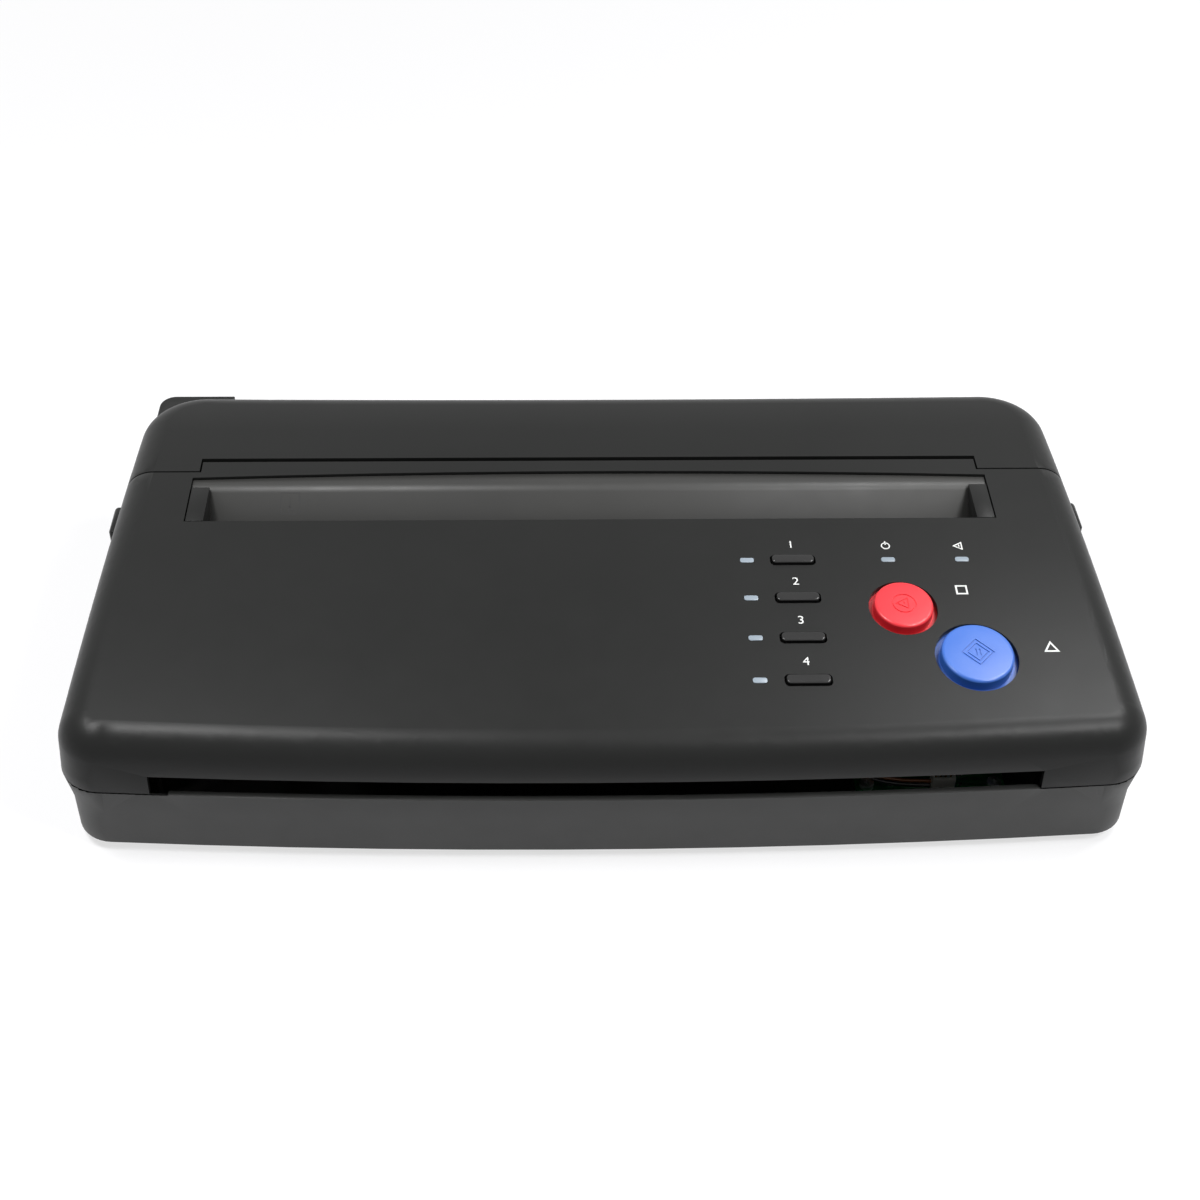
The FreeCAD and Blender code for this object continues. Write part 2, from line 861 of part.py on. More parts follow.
def recess_prism(gap, low):
    """The recess seen from above with its bowed rear edge, less a gap at the rear, from a height up."""
    left = paper_centre_x - recess_half_width
    right = paper_centre_x + recess_half_width
    front_y = back(recess_front_back)
    side_y = back(recess_rear_back - gap)
    front_left = V(left, front_y, low)
    front_right = V(right, front_y, low)
    rear_right = V(right, side_y, low)
    rear_left = V(left, side_y, low)
    middle = V(paper_centre_x, side_y + recess_arc_rise, low)
    sides = [Part.makeLine(front_left, front_right), Part.makeLine(front_right, rear_right)]
    rear = [Part.Arc(rear_right, middle, rear_left).toShape(), Part.makeLine(rear_left, front_left)]
    return Part.Face(Part.Wire(sides + rear)).extrude(V(0, 0, height + overrun - low))


def build_front_cover():
    shell = FORM.cut(HOLLOW)
    tongue_half = notch_half_width - tongue_side_gap
    beyond = block(-front_width, front_width, back(cover_seam_back), back(depth) + overrun, 0,
                   height + overrun)
    tongue_low_x = paper_centre_x - tongue_half
    tongue_high_x = paper_centre_x + tongue_half
    tongue_room = block(tongue_low_x, tongue_high_x, back(cover_seam_back) - touch, back(tongue_end_back),
                        seam_height + top_edge_radius, height + overrun)
    added = []
    tongue_y = back(tongue_end_back)
    tongue_low = panel_height_at(tongue_y) - tongue_lip_depth
    added.append(block(tongue_low_x, tongue_high_x, tongue_y - slot_lip, tongue_y, tongue_low,
                       height).common(FORM))
    for low_x in (paper_centre_x + recess_half_width, paper_centre_x - recess_half_width - recess_end_wall):
        added.append(block(low_x, low_x + recess_end_wall, back(recess_front_back) - wall,
                           back(cover_seam_back) - slide_gap, recess_end_low, height).common(FORM))
    ear_low_x = base_ear_side + hinge_ear_width + hinge_ear_gap
    ear = block(ear_low_x, ear_low_x + hinge_ear_width, back(hinge_back) - hinge_boss_radius,
                back(hinge_back) + hinge_boss_radius, hinge_height, height).common(FORM)
    ear = ear.fuse(rod(hinge_boss_radius, hinge_centre(ear_low_x), V(1, 0, 0), hinge_ear_width))
    added += [ear, mirrored(ear)]
    rib = block(sensor_rib_x, sensor_rib_x + sensor_rib_width, feed_axis[0] - sensor_rib_half_depth,
                feed_axis[0] + sensor_rib_half_depth, sensor_low + sensor_tall, height).common(FORM)
    added += [rib, mirrored(rib)]
    post = rod(pinion_bore_radius, pinion_centre(), V(0, 0, 1), height - rack_low).common(FORM)
    added.append(post)
    spring_rib_x = latch_flange_x() - latch_flange_thickness - latch_spring_length
    spring_rib = block(spring_rib_x - latch_rib_thickness, spring_rib_x,
                       back(latch_back) - latch_rib_half_length,
                       back(latch_back) + latch_rib_half_length, latch_rib_low, height).common(FORM)
    added += [spring_rib, mirrored(spring_rib)]
    for x, offset in control_post_spots():
        stub = rod(board_post_radius, V(x, offset, -board_drop), V(0, 0, 1), board_drop + overrun)
        added.append(on_panel(stub, 0, board_mid_back).common(FORM))
    cover = fused([shell.cut(beyond.cut(tongue_room))] + added)
    cuts = [recess_prism(0, panel_height_at(back(recess_front_back)) - 2 * wall)]
    cuts.append(block(paper_centre_x - exit_half_width, paper_centre_x + exit_half_width, back(0) - overrun,
                      back(front_bow + 2 * wall), 0, seam_height + exit_height))
    pin_hole = rod(hinge_pin_radius + shaft_clearance, hinge_centre(ear_low_x - overrun / 2), V(1, 0, 0),
                   hinge_ear_width + overrun)
    cuts += [pin_hole, mirrored(pin_hole)]
    key_hole = rounded_bar(key_length + 2 * key_ring_gap, key_depth + 2 * key_ring_gap, -2 * wall, wall,
                           key_corner + key_ring_gap / 2)
    for distance in key_backs:
        cuts.append(on_panel(key_hole, key_x, distance))
    light_hole = rounded_bar(light_length + 2 * light_gap, light_depth + 2 * light_gap, -2 * wall, wall,
                             light_corner + light_gap)
    for x, distance in light_spots():
        cuts.append(on_panel(light_hole, x, distance))
    for x, distance, radius, gap in ((stop_x, stop_back, stop_radius, stop_ring_gap),
                                     (copy_x, copy_back, copy_radius, copy_ring_gap)):
        hole = rod(radius + gap, V(0, 0, -2 * wall), V(0, 0, 1), 3 * wall)
        cuts.append(on_panel(hole, x, distance))
    window = block(side_wall_x(latch_back, latch_height) - 2 * wall, front_width / 2,
                   back(latch_back) - latch_length / 2 - latch_window_gap,
                   back(latch_back) + latch_length / 2 + latch_window_gap,
                   latch_height - latch_tall / 2 - latch_window_gap,
                   latch_height + latch_tall / 2 + latch_window_gap)
    cuts += [window, mirrored(window)]
    for x, offset in control_post_spots():
        hole = rod(screw_radius + thread_clearance, V(x, offset, -board_drop), V(0, 0, 1), board_drop - wall)
        cuts.append(on_panel(hole, 0, board_mid_back))
    cuts.append(rod(pinion_screw_radius + thread_clearance, pinion_centre(), V(0, 0, 1), screw_reach))
    return cover.cut(cuts)


def light_spots():
    """Places of the indicator windows: one beside each mode key, then power and error."""
    spots = [(light_x, distance) for distance in key_backs]
    spots.append((power_light_x, key_backs[0]))
    spots.append((error_light_x, key_backs[0]))
    return spots


def build_lights():
    window = rounded_bar(light_length, light_depth, -light_pipe, light_stand, light_corner)
    return Part.makeCompound([on_panel(window, x, distance) for x, distance in light_spots()])


def switch_spots():
    return [(key_x, distance) for distance in key_backs] + [(stop_x, stop_back), (copy_x, copy_back)]


def over_board(x, distance):
    """A place on the control board below a place on the panel, as x and offset along the board."""
    reach = back(distance) - back(board_mid_back)
    return x, reach / math.cos(math.radians(panel_tilt_at(back(board_mid_back))))


def build_control_board():
    board = block(board_low_x, board_high_x, -board_half_depth, board_half_depth,
                  -board_drop - board_thickness, -board_drop)
    holes = [rod(screw_radius + screw_hole_clearance, V(x, offset, -board_drop - 2 * board_thickness),
                 V(0, 0, 1),
                 overrun) for x, offset in control_post_spots()]
    notch = block(sensor_rib_x - board_notch_gap, sensor_rib_x + sensor_rib_width + board_notch_gap,
                  feed_axis[0] - sensor_rib_half_depth - board_notch_gap, back(recess_front_back), 0, height)
    return on_panel(board.cut(holes), 0, board_mid_back).cut(notch)


def build_switches():
    switches = []
    for x, distance in switch_spots():
        along_x, offset = over_board(x, distance)
        body = block(along_x - switch_side / 2, along_x + switch_side / 2, offset - switch_side / 2,
                     offset + switch_side / 2, -board_drop, -board_drop + switch_body)
        plunger = rod(switch_plunger_radius, V(along_x, offset, -board_drop + switch_body), V(0, 0, 1),
                      switch_plunger)
        switches.append(on_panel(body.fuse(plunger).removeSplitter(), 0, board_mid_back))
    return Part.makeCompound(switches)


def build_lamps():
    lamps = []
    for x, distance in light_spots():
        along_x, offset = over_board(x, distance)
        lamp = block(along_x - lamp_length / 2, along_x + lamp_length / 2, offset - lamp_depth / 2,
                     offset + lamp_depth / 2, -board_drop, -board_drop + lamp_height)
        lamps.append(on_panel(lamp, 0, board_mid_back))
    return Part.makeCompound(lamps)


def build_cover_screws():
    """Screws that hold the control board, and the one that keeps the guide pinion on its post."""
    screws = []
    for x, offset in control_post_spots():
        low = -board_drop - board_thickness
        one = screw(x, offset, low, 1, screw_reach - wall, screw_radius, screw_head_radius, screw_head_height)
        screws.append(on_panel(one, 0, board_mid_back))
    screws.append(screw(paper_centre_x, back(pinion_back), rack_low, 1, screw_reach - wall,
                        pinion_screw_radius,
                        pinion_head_radius, pinion_head_height))
    return Part.makeCompound(screws)


def key_bottom(travel):
    """Lowest local height of a pressed piece at rest, so that it meets its switch as its travel ends."""
    sagitta = board_half_depth ** 2 / (2 * panel_arc_radius)
    return -board_drop + sagitta + switch_body + switch_plunger + travel + press_reserve


def build_key(distance):
    cap = rounded_bar(key_length, key_depth, -wall - slide_gap - key_flange_thickness, key_stand, key_corner)
    cap = top_rounded(cap, key_stand, key_dome)
    flange = rounded_bar(key_length + 2 * (key_ring_gap + key_flange),
                         key_depth + 2 * (key_ring_gap + key_flange),
                         -wall - slide_gap - key_flange_thickness, -wall - slide_gap, key_corner)
    low = key_bottom(key_travel)
    stem = rod(key_stem_radius, V(0, 0, low), V(0, 0, 1), -wall - low)
    return on_panel(fused([cap, flange, stem]), key_x, distance)


def build_round_button(x, distance, radius, gap, stand):
    low = min(key_bottom(round_travel), -wall - slide_gap - key_flange_thickness)
    cap = rod(radius, V(0, 0, -wall - slide_gap - key_flange_thickness), V(0, 0, 1),
              stand + wall + slide_gap + key_flange_thickness)
    cap = top_rounded(cap, stand, round_edge)
    flange = rod(radius + gap + round_flange, V(0, 0, -wall - slide_gap - key_flange_thickness), V(0, 0, 1),
                 key_flange_thickness)
    hub = rod(2 * key_stem_radius, V(0, 0, low), V(0, 0, 1), -wall - low)
    return on_panel(fused([cap, flange, hub]), x, distance)


# Document tray and guides

def tray_height_at(distance):
    """Height of the tray's upper surface."""
    flat = panel_height_at(back(tray_bend_back)) - tray_sink
    if distance >= tray_bend_back:
        return flat
    return flat - (tray_bend_back - distance) * math.tan(math.radians(tray_slope_deg))


def build_tray():
    slope = math.radians(tray_slope_deg)
    flat = tray_height_at(tray_bend_back)
    under_flange = panel_height_at(back(recess_rear_back)) - wall - slide_gap
    rear = recess_rear_back + recess_arc_rise - tray_side_gap
    low = (tray_low_back, tray_height_at(tray_low_back))
    low_under = (low[0] + tray_thickness * math.sin(slope), low[1] - tray_thickness * math.cos(slope))
    flange_under = under_flange - tray_thickness
    meet = low_under[0] + (flange_under - low_under[1]) / math.tan(slope)
    outline = [low, (tray_bend_back, flat), (rear, flat), (rear, under_flange),
               (rear + tray_flange, under_flange), (rear + tray_flange, flange_under), (meet, flange_under),
               low_under]
    half = recess_half_width - tray_side_gap
    tray = plate_along_x(outline, -half, half)
    bend_y = back(tray_bend_back)
    bend = [edge for edge in tray.Edges
            if abs(edge.BoundBox.YMin - bend_y) < touch and abs(edge.BoundBox.ZMin - flat) < touch
            and abs(edge.BoundBox.YMax - bend_y) < touch]
    tray = tray.makeFillet(tray_bend_radius, bend)
    tray.translate(V(paper_centre_x, 0, 0))
    past_arc = block(-front_width, front_width, back(tray_bend_back), back(depth), under_flange, height)
    cuts = [past_arc.cut(recess_prism(tray_side_gap, 0))]
    tongue_half = notch_half_width - tongue_side_gap - tray_side_gap
    past_seam = block(-front_width, front_width, back(cover_seam_back) - tray_side_gap, back(depth), 0,
                      height)
    under_tongue = block(paper_centre_x - tongue_half, paper_centre_x + tongue_half, back(0), back(depth), 0,
                         height)
    cuts.append(past_seam.cut(under_tongue))
    return tray.cut(cuts)


def pinion_centre():
    return V(paper_centre_x, back(pinion_back), rack_low)


def rack_outline(x_low, x_high, first_tooth_x, last_tooth_x, toward):
    """Outline in X and Y of a rack whose pitch line is Y zero; its teeth point along toward (1 or -1)."""
    pitch = math.pi * rack_module
    tip = addendum_share * rack_module * toward
    root = -dedendum_share * rack_module * toward
    rear = root - rack_body * toward
    slope = math.tan(math.radians(pressure_angle_deg))
    half = pitch / 4 - backlash_share * rack_module / 4
    points = [(x_low, rear), (x_low, root)]
    count = int((last_tooth_x - first_tooth_x) / pitch)
    for index in range(count):
        centre = first_tooth_x + index * pitch
        at_root = half + abs(root) * slope
        at_tip = half - abs(tip) * slope
        points += [(centre - at_root, root), (centre - at_tip, tip), (centre + at_tip, tip),
                   (centre + at_root, root)]
    points += [(x_high, root), (x_high, rear)]
    return points


def build_guide(side):
    """One paper guide with its rack; side is -1 for the left guide and 1 for the right one."""
    outer = recess_half_width - guide_side_gap
    inner = outer - guide_width
    front = recess_front_back + guide_lip_gap
    foot = front - guide_foot
    lift = slide_gap / math.cos(math.radians(tray_slope_deg))
    outline = [(foot, tray_height_at(foot) + lift), (guide_rear_back, tray_height_at(guide_rear_back) + lift),
               (guide_rear_back, panel_height_at(back(guide_rear_back)) - guide_sink),
               (front, panel_height_at(back(front)) - guide_sink), (front, guide_foot_high),
               (foot, guide_foot_high)]
    wedge = plate_along_x(outline, -outer, -inner)
    pitch = math.pi * rack_module
    pitch_radius = rack_module * pinion_teeth / 2
    toward = side
    first = pitch / 2 - pitch * math.floor(rack_teeth_from / pitch)
    points = rack_outline(-inner - guide_width / 2, rack_past_centre, first, rack_past_centre - pitch, toward)
    rack_y = back(pinion_back) - side * pitch_radius
    corners = [V(x, rack_y + y, rack_low) for x, y in points]
    rack = Part.Face(Part.makePolygon(corners + corners[:1])).extrude(V(0, 0, rack_height))
    shapes = [wedge, rack]
    if side > 0:
        rear = rack_y - (dedendum_share * rack_module + rack_body)
        shapes.append(block(-outer, -inner, rear, back(foot) + touch, rack_low, rack_low + rack_height))
    guide = fused(shapes) if side < 0 else mirrored(fused(shapes))
    guide.translate(V(paper_centre_x, 0, 0))
    return guide


def build_guide_pinion():
    wheel = gear(pinion_teeth, rack_module, rack_height, pinion_bore_radius + shaft_clearance, math.pi / 2)
    turned = wheel.copy()
    turned.rotate(V(0, 0, 0), V(0, 1, 0), -90)
    turned.rotate(V(0, 0, 0), V(0, 0, 1), 90)
    turned.translate(pinion_centre())
    return turned


def placed_gear(teeth, bore_radius, phase, axis):
    wheel = gear(teeth, gear_module, gear_width, bore_radius, phase)
    wheel.translate(V(gear_x, axis[0], axis[1]))
    return wheel


def build_roller_shaft(axis):
    start = gear_x - shaft_overhang
    end = frame_x + frame_thickness + shaft_overhang
    return rod(roller_shaft_radius, V(start, axis[0], axis[1]), V(1, 0, 0), end - start)


def sleeve(radius, bore_radius, start, direction, length):
    """A tube from a start point along a direction."""
    return rod(radius, start, direction, length).cut(rod(bore_radius, start, direction, length))


def build_platen_rubber():
    start = V(-platen_half_length, platen_axis[0], platen_axis[1])
    return sleeve(platen_radius, roller_shaft_radius + press_clearance, start, V(1, 0, 0),
                  2 * platen_half_length)


def build_feed_tyres():
    tyres = []
    for x in feed_tyre_xs:
        start = V(x - feed_tyre_length / 2, feed_axis[0], feed_axis[1])
        tyres.append(sleeve(feed_radius, roller_shaft_radius + press_clearance, start, V(1, 0, 0),
                            feed_tyre_length))
    return Part.makeCompound(tyres)


def build_bushes():
    bushes = []
    for axis in (platen_axis, feed_axis):
        for side in (-1, 1):
            inner_face = V(side * (frame_x - bush_flange), axis[0], axis[1])
            way = V(side, 0, 0)
            flange = rod(bush_flange_radius, inner_face, way, bush_flange)
            body = rod(bush_radius, inner_face, way, bush_flange + frame_thickness)
            bore = rod(roller_shaft_radius + shaft_clearance, inner_face, way, bush_flange + frame_thickness)
            bushes.append(flange.fuse(body).cut(bore).removeSplitter())
    return Part.makeCompound(bushes)


def build_idler_stud():
    start = V(-frame_x - frame_thickness, idler_axis[0], idler_axis[1])
    reach = gear_gap + gear_width + slide_gap
    stud = rod(idler_stud_radius, start, V(-1, 0, 0), reach)
    head = rod(stud_head_radius, start + V(-reach, 0, 0), V(-1, 0, 0), stud_head)
    collar = rod(stud_head_radius, start, V(-1, 0, 0), gear_gap - slide_gap)
    return fused([stud, head, collar])


# Side frames

def build_side_frame(side):
    dip_front = tray_low_back - frame_dip_before
    dip_rear = tray_low_back + frame_dip_after
    outline = [(frame_front_back, frame_low), (frame_rear_back, frame_low), (frame_rear_back, frame_rear_top),
               (dip_rear + frame_rise, frame_rear_top), (dip_rear, frame_dip_top), (dip_front, frame_dip_top),
               (dip_front, frame_feed_top), (frame_front_back, frame_feed_top)]
    plate = plate_along_x(outline, frame_x, frame_x + frame_thickness)
    shapes = [plate]
    for distance in (frame_post_back_front, frame_post_back_rear):
        shapes.append(block(frame_x, frame_x + frame_flange_width, back(distance) - frame_flange_width / 2,
                            back(distance) + frame_flange_width / 2, frame_low, frame_low + frame_thickness))
    frame = fused(shapes)
    cuts = []
    for axis in (platen_axis, feed_axis):
        cuts.append(rod(bush_radius + press_clearance, V(0, axis[0], axis[1]), V(1, 0, 0), front_width))
    for x, y in frame_post_spots():
        cuts.append(rod(screw_radius + screw_hole_clearance, V(abs(x), y, 0), V(0, 0, 1), height))
    if side < 0:
        cuts.append(rod(motor_collar_radius + slide_gap, V(0, motor_axis[0], motor_axis[1]), V(1, 0, 0),
                        front_width))
    frame = frame.cut(cuts)
    return frame if side > 0 else mirrored(frame)


def build_frame_screws():
    """Screws of the side frames, the main board and the power supply board."""
    screws = []
    seats = [(spot, frame_low + frame_thickness) for spot in frame_post_spots()]
    seats += [(spot, main_height + board_thickness) for spot in main_post_spots()]
    seats += [(spot, supply_height + board_thickness) for spot in supply_post_spots()]
    for (x, y), top in seats:
        reach = min(screw_reach, top - base_floor_top) - slide_gap
        screws.append(screw(x, y, top, -1, reach, screw_radius, screw_head_radius, screw_head_height))
    return screws


# Print head, chutes and sensor

def build_print_head():
    front = back(platen_back) + platen_radius + slide_gap
    return block(-platen_half_length, platen_half_length, front, front + head_thickness, head_low,
                 head_low + head_tall)


def build_head_sink():
    front = back(platen_back) + platen_radius + slide_gap + head_thickness
    body = block(-sink_half_length, sink_half_length, front, front + sink_depth, sink_low,
                 sink_low + sink_tall)
    cuts = []
    step = sink_tall / (sink_groove_count + 1)
    for index in range(sink_groove_count):
        z = sink_low + (index + 1) * step
        cuts.append(block(-sink_half_length, sink_half_length, front + sink_depth - sink_groove_depth,
                          front + sink_depth + overrun, z - sink_groove / 2, z + sink_groove / 2))
    middle = block(-sink_half_length, sink_half_length, front, front + sink_depth, sink_low,
                   sink_low + sink_tall)
    pads = []
    for x in head_spring_xs:
        pads.append(block(x - head_spring_radius - slide_gap, x + head_spring_radius + slide_gap, front,
                          front + sink_depth, sink_low, sink_low + sink_tall).common(middle))
    return fused([body.cut(cuts)] + pads)


def head_spring_height():
    return sink_low + sink_tall / 2


def build_head_springs():
    start_y = back(platen_back) + platen_radius + slide_gap + head_thickness + sink_depth
    springs = []
    for x in head_spring_xs:
        springs.append(sleeve(head_spring_radius, head_spring_bore, V(x, start_y, head_spring_height()),
                              V(0, 1, 0),
                              head_spring_length))
    return Part.makeCompound(springs)


def build_head_beam():
    start_y = back(platen_back) + platen_radius + slide_gap + head_thickness + sink_depth + head_spring_length
    half = frame_x - beam_end_gap
    return block(-half, half, start_y, start_y + beam_thickness, beam_low, beam_low + beam_tall)


def sloped_plate(low, high, thickness, half):
    """A flat plate along X between two (distance, height) places, with its thickness measured downwards."""
    outline = [low, high, (high[0], high[1] - thickness), (low[0], low[1] - thickness)]
    return plate_along_x(outline, -half, half)


def build_exit_chute():
    return sloped_plate((chute_front_back, chute_front_height), (chute_rear_back, chute_rear_height),
                        chute_thickness, frame_x - beam_end_gap)


def build_stencil_chute():
    return sloped_plate((stencil_low_back, stencil_low_height), (stencil_top_back, stencil_top_height),
                        chute_thickness, frame_x - beam_end_gap)


def sensor_slab(low, high):
    return block(-sensor_half_length, sensor_half_length, feed_axis[0] - sensor_half_depth,
                 feed_axis[0] + sensor_half_depth, low, high)


# Motor

def build_motor():
    face_x = -frame_x
    half = motor_side / 2
    can = block(face_x, face_x + motor_length, motor_axis[0] - half, motor_axis[0] + half,
                motor_axis[1] - half, motor_axis[1] + half)
    long_edges = [edge for edge in can.Edges if edge.BoundBox.XLength > motor_length / 2]
    can = can.makeFillet(motor_corner, long_edges)
    collar = rod(motor_collar_radius, V(face_x, motor_axis[0], motor_axis[1]), V(-1, 0, 0), motor_collar)
    bore = rod(motor_shaft_radius + shaft_clearance,
               V(face_x + motor_bearing_depth, motor_axis[0], motor_axis[1]),
               V(-1, 0, 0), motor_bearing_depth + 2 * motor_collar)
    return can.fuse(collar).cut(bore).removeSplitter()


def build_motor_shaft():
    start = -frame_x + motor_bearing_depth - slide_gap
    end = gear_x - slide_gap
    return rod(motor_shaft_radius, V(start, motor_axis[0], motor_axis[1]), V(-1, 0, 0), start - end)


# Hinge pins and latches

def build_hinge_pins():
    start = base_ear_side - slide_gap
    reach = 2 * hinge_ear_width + hinge_ear_gap + 2 * slide_gap
    pin = rod(hinge_pin_radius, hinge_centre(start), V(1, 0, 0), reach)
    head = rod(hinge_head_radius, hinge_centre(start), V(-1, 0, 0), hinge_head_width)
    return pair(pin.fuse(head).removeSplitter())


def latch_flange_x():
    """X of the flange's outer face, clear of the wall at the flange's upper rear corner."""
    rear = latch_back + latch_length / 2 + latch_flange
    top = latch_height + latch_tall / 2 + latch_flange
    return side_wall_x(rear, top) - wall - slide_gap


def latch_arm_outer_x():
    return side_wall_x(latch_back, seam_height) - latch_arm_inset + latch_arm_thickness


def build_latch():
    """The right latch: button, flange behind the wall, and the arm with its nose."""
    wall_x = side_wall_x(latch_back, latch_height)
    flange_out = latch_flange_x()
    flange_in = flange_out - latch_flange_thickness
    y = back(latch_back)
    half_y = latch_length / 2
    half_z = latch_tall / 2
    button = block(flange_in, wall_x + latch_proud, y - half_y, y + half_y, latch_height - half_z,
                   latch_height + half_z)
    outer_edges = [edge for edge in button.Edges if edge.BoundBox.XMin > wall_x + latch_proud - touch]
    button = button.makeFillet(latch_edge, outer_edges)
    flange = block(flange_in, flange_out, y - half_y - latch_flange, y + half_y + latch_flange,
                   latch_height - half_z - latch_flange, latch_height + half_z + latch_flange)
    arm_out = latch_arm_outer_x()
    arm_in = arm_out - latch_arm_thickness
    bridge_high = latch_height - half_z
    bridge_low = bridge_high - latch_flange
    bridge = block(arm_in, flange_out, y - latch_arm_half_length, y + latch_arm_half_length, bridge_low,
                   bridge_high)
    arm = block(arm_in, arm_out, y - latch_arm_half_length, y + latch_arm_half_length, latch_nose_low,
                bridge_high)
    nose = block(arm_in, arm_out + latch_nose_reach, y - latch_arm_half_length, y + latch_arm_half_length,
                 latch_nose_low, latch_nose_low + latch_nose_height)
    return fused([button, flange, bridge, arm, nose])


def build_latch_spring():
    flange_in = latch_flange_x() - latch_flange_thickness
    start = V(flange_in - latch_spring_length, back(latch_back), latch_height)
    return sleeve(latch_spring_radius, latch_spring_bore, start, V(1, 0, 0), latch_spring_length)


# Boards

def drilled_board(x_low, x_high, front, rear, z, spots):
    board = block(x_low, x_high, back(front), back(rear), z, z + board_thickness)
    return board.cut([rod(screw_radius + screw_hole_clearance, V(x, y, 0), V(0, 0, 1), height) for x,
                      y in spots])


def build_main_board():
    """The main board with the chips soldered on it."""
    board = drilled_board(main_low_x, main_high_x, main_front_back, main_rear_back, main_height,
                          main_post_spots())
    low = main_height + board_thickness
    chips = []
    for share_x, share_y in chip_spots_share:
        x = main_low_x + share_x * (main_high_x - main_low_x)
        y = back(main_front_back + share_y * (main_rear_back - main_front_back))
        chips.append(block(x - chip_side / 2, x + chip_side / 2, y - chip_side / 2, y + chip_side / 2,
                           low, low + chip_tall))
    return fused([board] + chips)


def build_connectors():
    """Two plugs on the main board and the terminal block on the power supply board."""
    plugs = []
    low = main_height + board_thickness
    for x, distance in zip(plug_xs, plug_backs):
        plugs.append(block(x - plug_width / 2, x + plug_width / 2, back(distance) - plug_depth / 2,
                           back(distance) + plug_depth / 2, low, low + plug_tall))
    size_x, size_y, size_z = terminal_size
    x = supply_mid_x()
    rear = back(supply_rear_back)
    plugs.append(block(x - size_x / 2, x + size_x / 2, rear - size_y, rear, supply_top, supply_top + size_z))
    return Part.makeCompound(plugs)


def build_supply_board():
    return drilled_board(supply_low_x, supply_high_x, supply_front_back, supply_rear_back, supply_height,
                         supply_post_spots())


supply_top = supply_height + board_thickness


def supply_mid_x():
    return (supply_low_x + supply_high_x) / 2


def build_transformer():
    """The transformer's block, with a groove under it on each side of the core."""
    size_x, size_y, size_z = transformer_size
    x = supply_mid_x()
    y = back(transformer_back)
    coil = block(x - size_x / 2, x + size_x / 2, y - size_y / 2, y + size_y / 2, supply_top,
                 supply_top + size_z)
    low = supply_top + transformer_core / 2
    groove = block(x - size_x / 2, x + size_x / 2, y - size_y / 2, y - transformer_core / 2, supply_top, low)
    other = block(x - size_x / 2, x + size_x / 2, y + transformer_core / 2, y + size_y / 2, supply_top, low)
    return coil.cut([groove, other])


def build_capacitors():
    cans = []
    x = supply_low_x + capacitor_inset
    for distance in capacitor_backs:
        can = rod(capacitor_radius, V(x, back(distance), supply_top), V(0, 0, 1), capacitor_tall)
        cans.append(top_rounded(can, supply_top + capacitor_tall, capacitor_edge))
    return Part.makeCompound(cans)


def build_supply_sink():
    size_x, size_y, size_z = supply_sink_size
    x = supply_high_x - 2 * supply_post_inset - size_x
    front = back(supply_front_back + supply_post_inset)
    spine = block(x, x + size_x, front, front + size_y, supply_top, supply_top + size_z)
    fins = []
    step = (size_y - size_x) / (supply_sink_fin_count - 1)
    for index in range(supply_sink_fin_count):
        fin_y = front + index * step
        fins.append(block(x - supply_sink_fin, x, fin_y, fin_y + size_x, supply_top, supply_top + size_z))
    return fused([spine] + fins)


# Power inlet and rocker switch

def build_inlet():
    face = back(depth)
    seat = back(bay_face_back)
    z = rear_bay_height
    flange = block(inlet_x - inlet_flange_width / 2, inlet_x + inlet_flange_width / 2, seat, face,
                   z - inlet_flange_tall / 2, z + inlet_flange_tall / 2)
    body = block(inlet_x - inlet_width / 2, inlet_x + inlet_width / 2, face - inlet_depth, face,
                 z - inlet_tall / 2, z + inlet_tall / 2)
    low = z - socket_tall / 2
    high = z + socket_tall / 2
    half = socket_width / 2
    corners = [(-half, low), (half, low), (half, high - socket_corner), (half - socket_corner, high),
               (-half + socket_corner, high), (-half, high - socket_corner)]
    points = [V(inlet_x + x, face - socket_depth, height_z) for x, height_z in corners]
    socket = Part.Face(Part.makePolygon(points + points[:1])).extrude(V(0, socket_depth + overrun, 0))
    return flange.fuse(body).cut(socket).removeSplitter()


def blade_places():
    return ((-blade_side, -blade_drop), (blade_side, -blade_drop), (0, blade_rise))


def build_inlet_blades():
    blades = []
    start = back(depth) - socket_depth
    for x, z in blade_places():
        centre_z = rear_bay_height + z
        blades.append(block(inlet_x + x - blade_width / 2, inlet_x + x + blade_width / 2, start,
                            start + blade_length, centre_z - blade_tall / 2, centre_z + blade_tall / 2))
    return Part.makeCompound(blades)


def rocker_centre():
    return V(switch_x, back(depth) - rocker_pin_inset, rear_bay_height)


def build_switch_housing():
    face = back(depth) - rocker_stand
    seat = back(bay_face_back)
    z = rear_bay_height
    flange = block(switch_x - rocker_housing_width / 2, switch_x + rocker_housing_width / 2, seat, face,
                   z - rocker_housing_tall / 2, z + rocker_housing_tall / 2)
    body = block(switch_x - rocker_body_width / 2, switch_x + rocker_body_width / 2,
                 face - rocker_body_depth, face,
                 z - rocker_body_tall / 2, z + rocker_body_tall / 2)
    well = block(switch_x - rocker_width / 2 - rocker_gap, switch_x + rocker_width / 2 + rocker_gap,
                 face - 2 * rocker_depth, face + overrun, z - rocker_tall / 2 - rocker_gap,
                 z + rocker_tall / 2 + rocker_gap)
    centre = rocker_centre()
    pin_hole = rod(rocker_pin_radius + shaft_clearance,
                   V(switch_x - rocker_width / 2 - 2 * rocker_gap, centre.y, centre.z),
                   V(1, 0, 0), rocker_width + 4 * rocker_gap)
    return flange.fuse(body).cut([well, pin_hole]).removeSplitter()


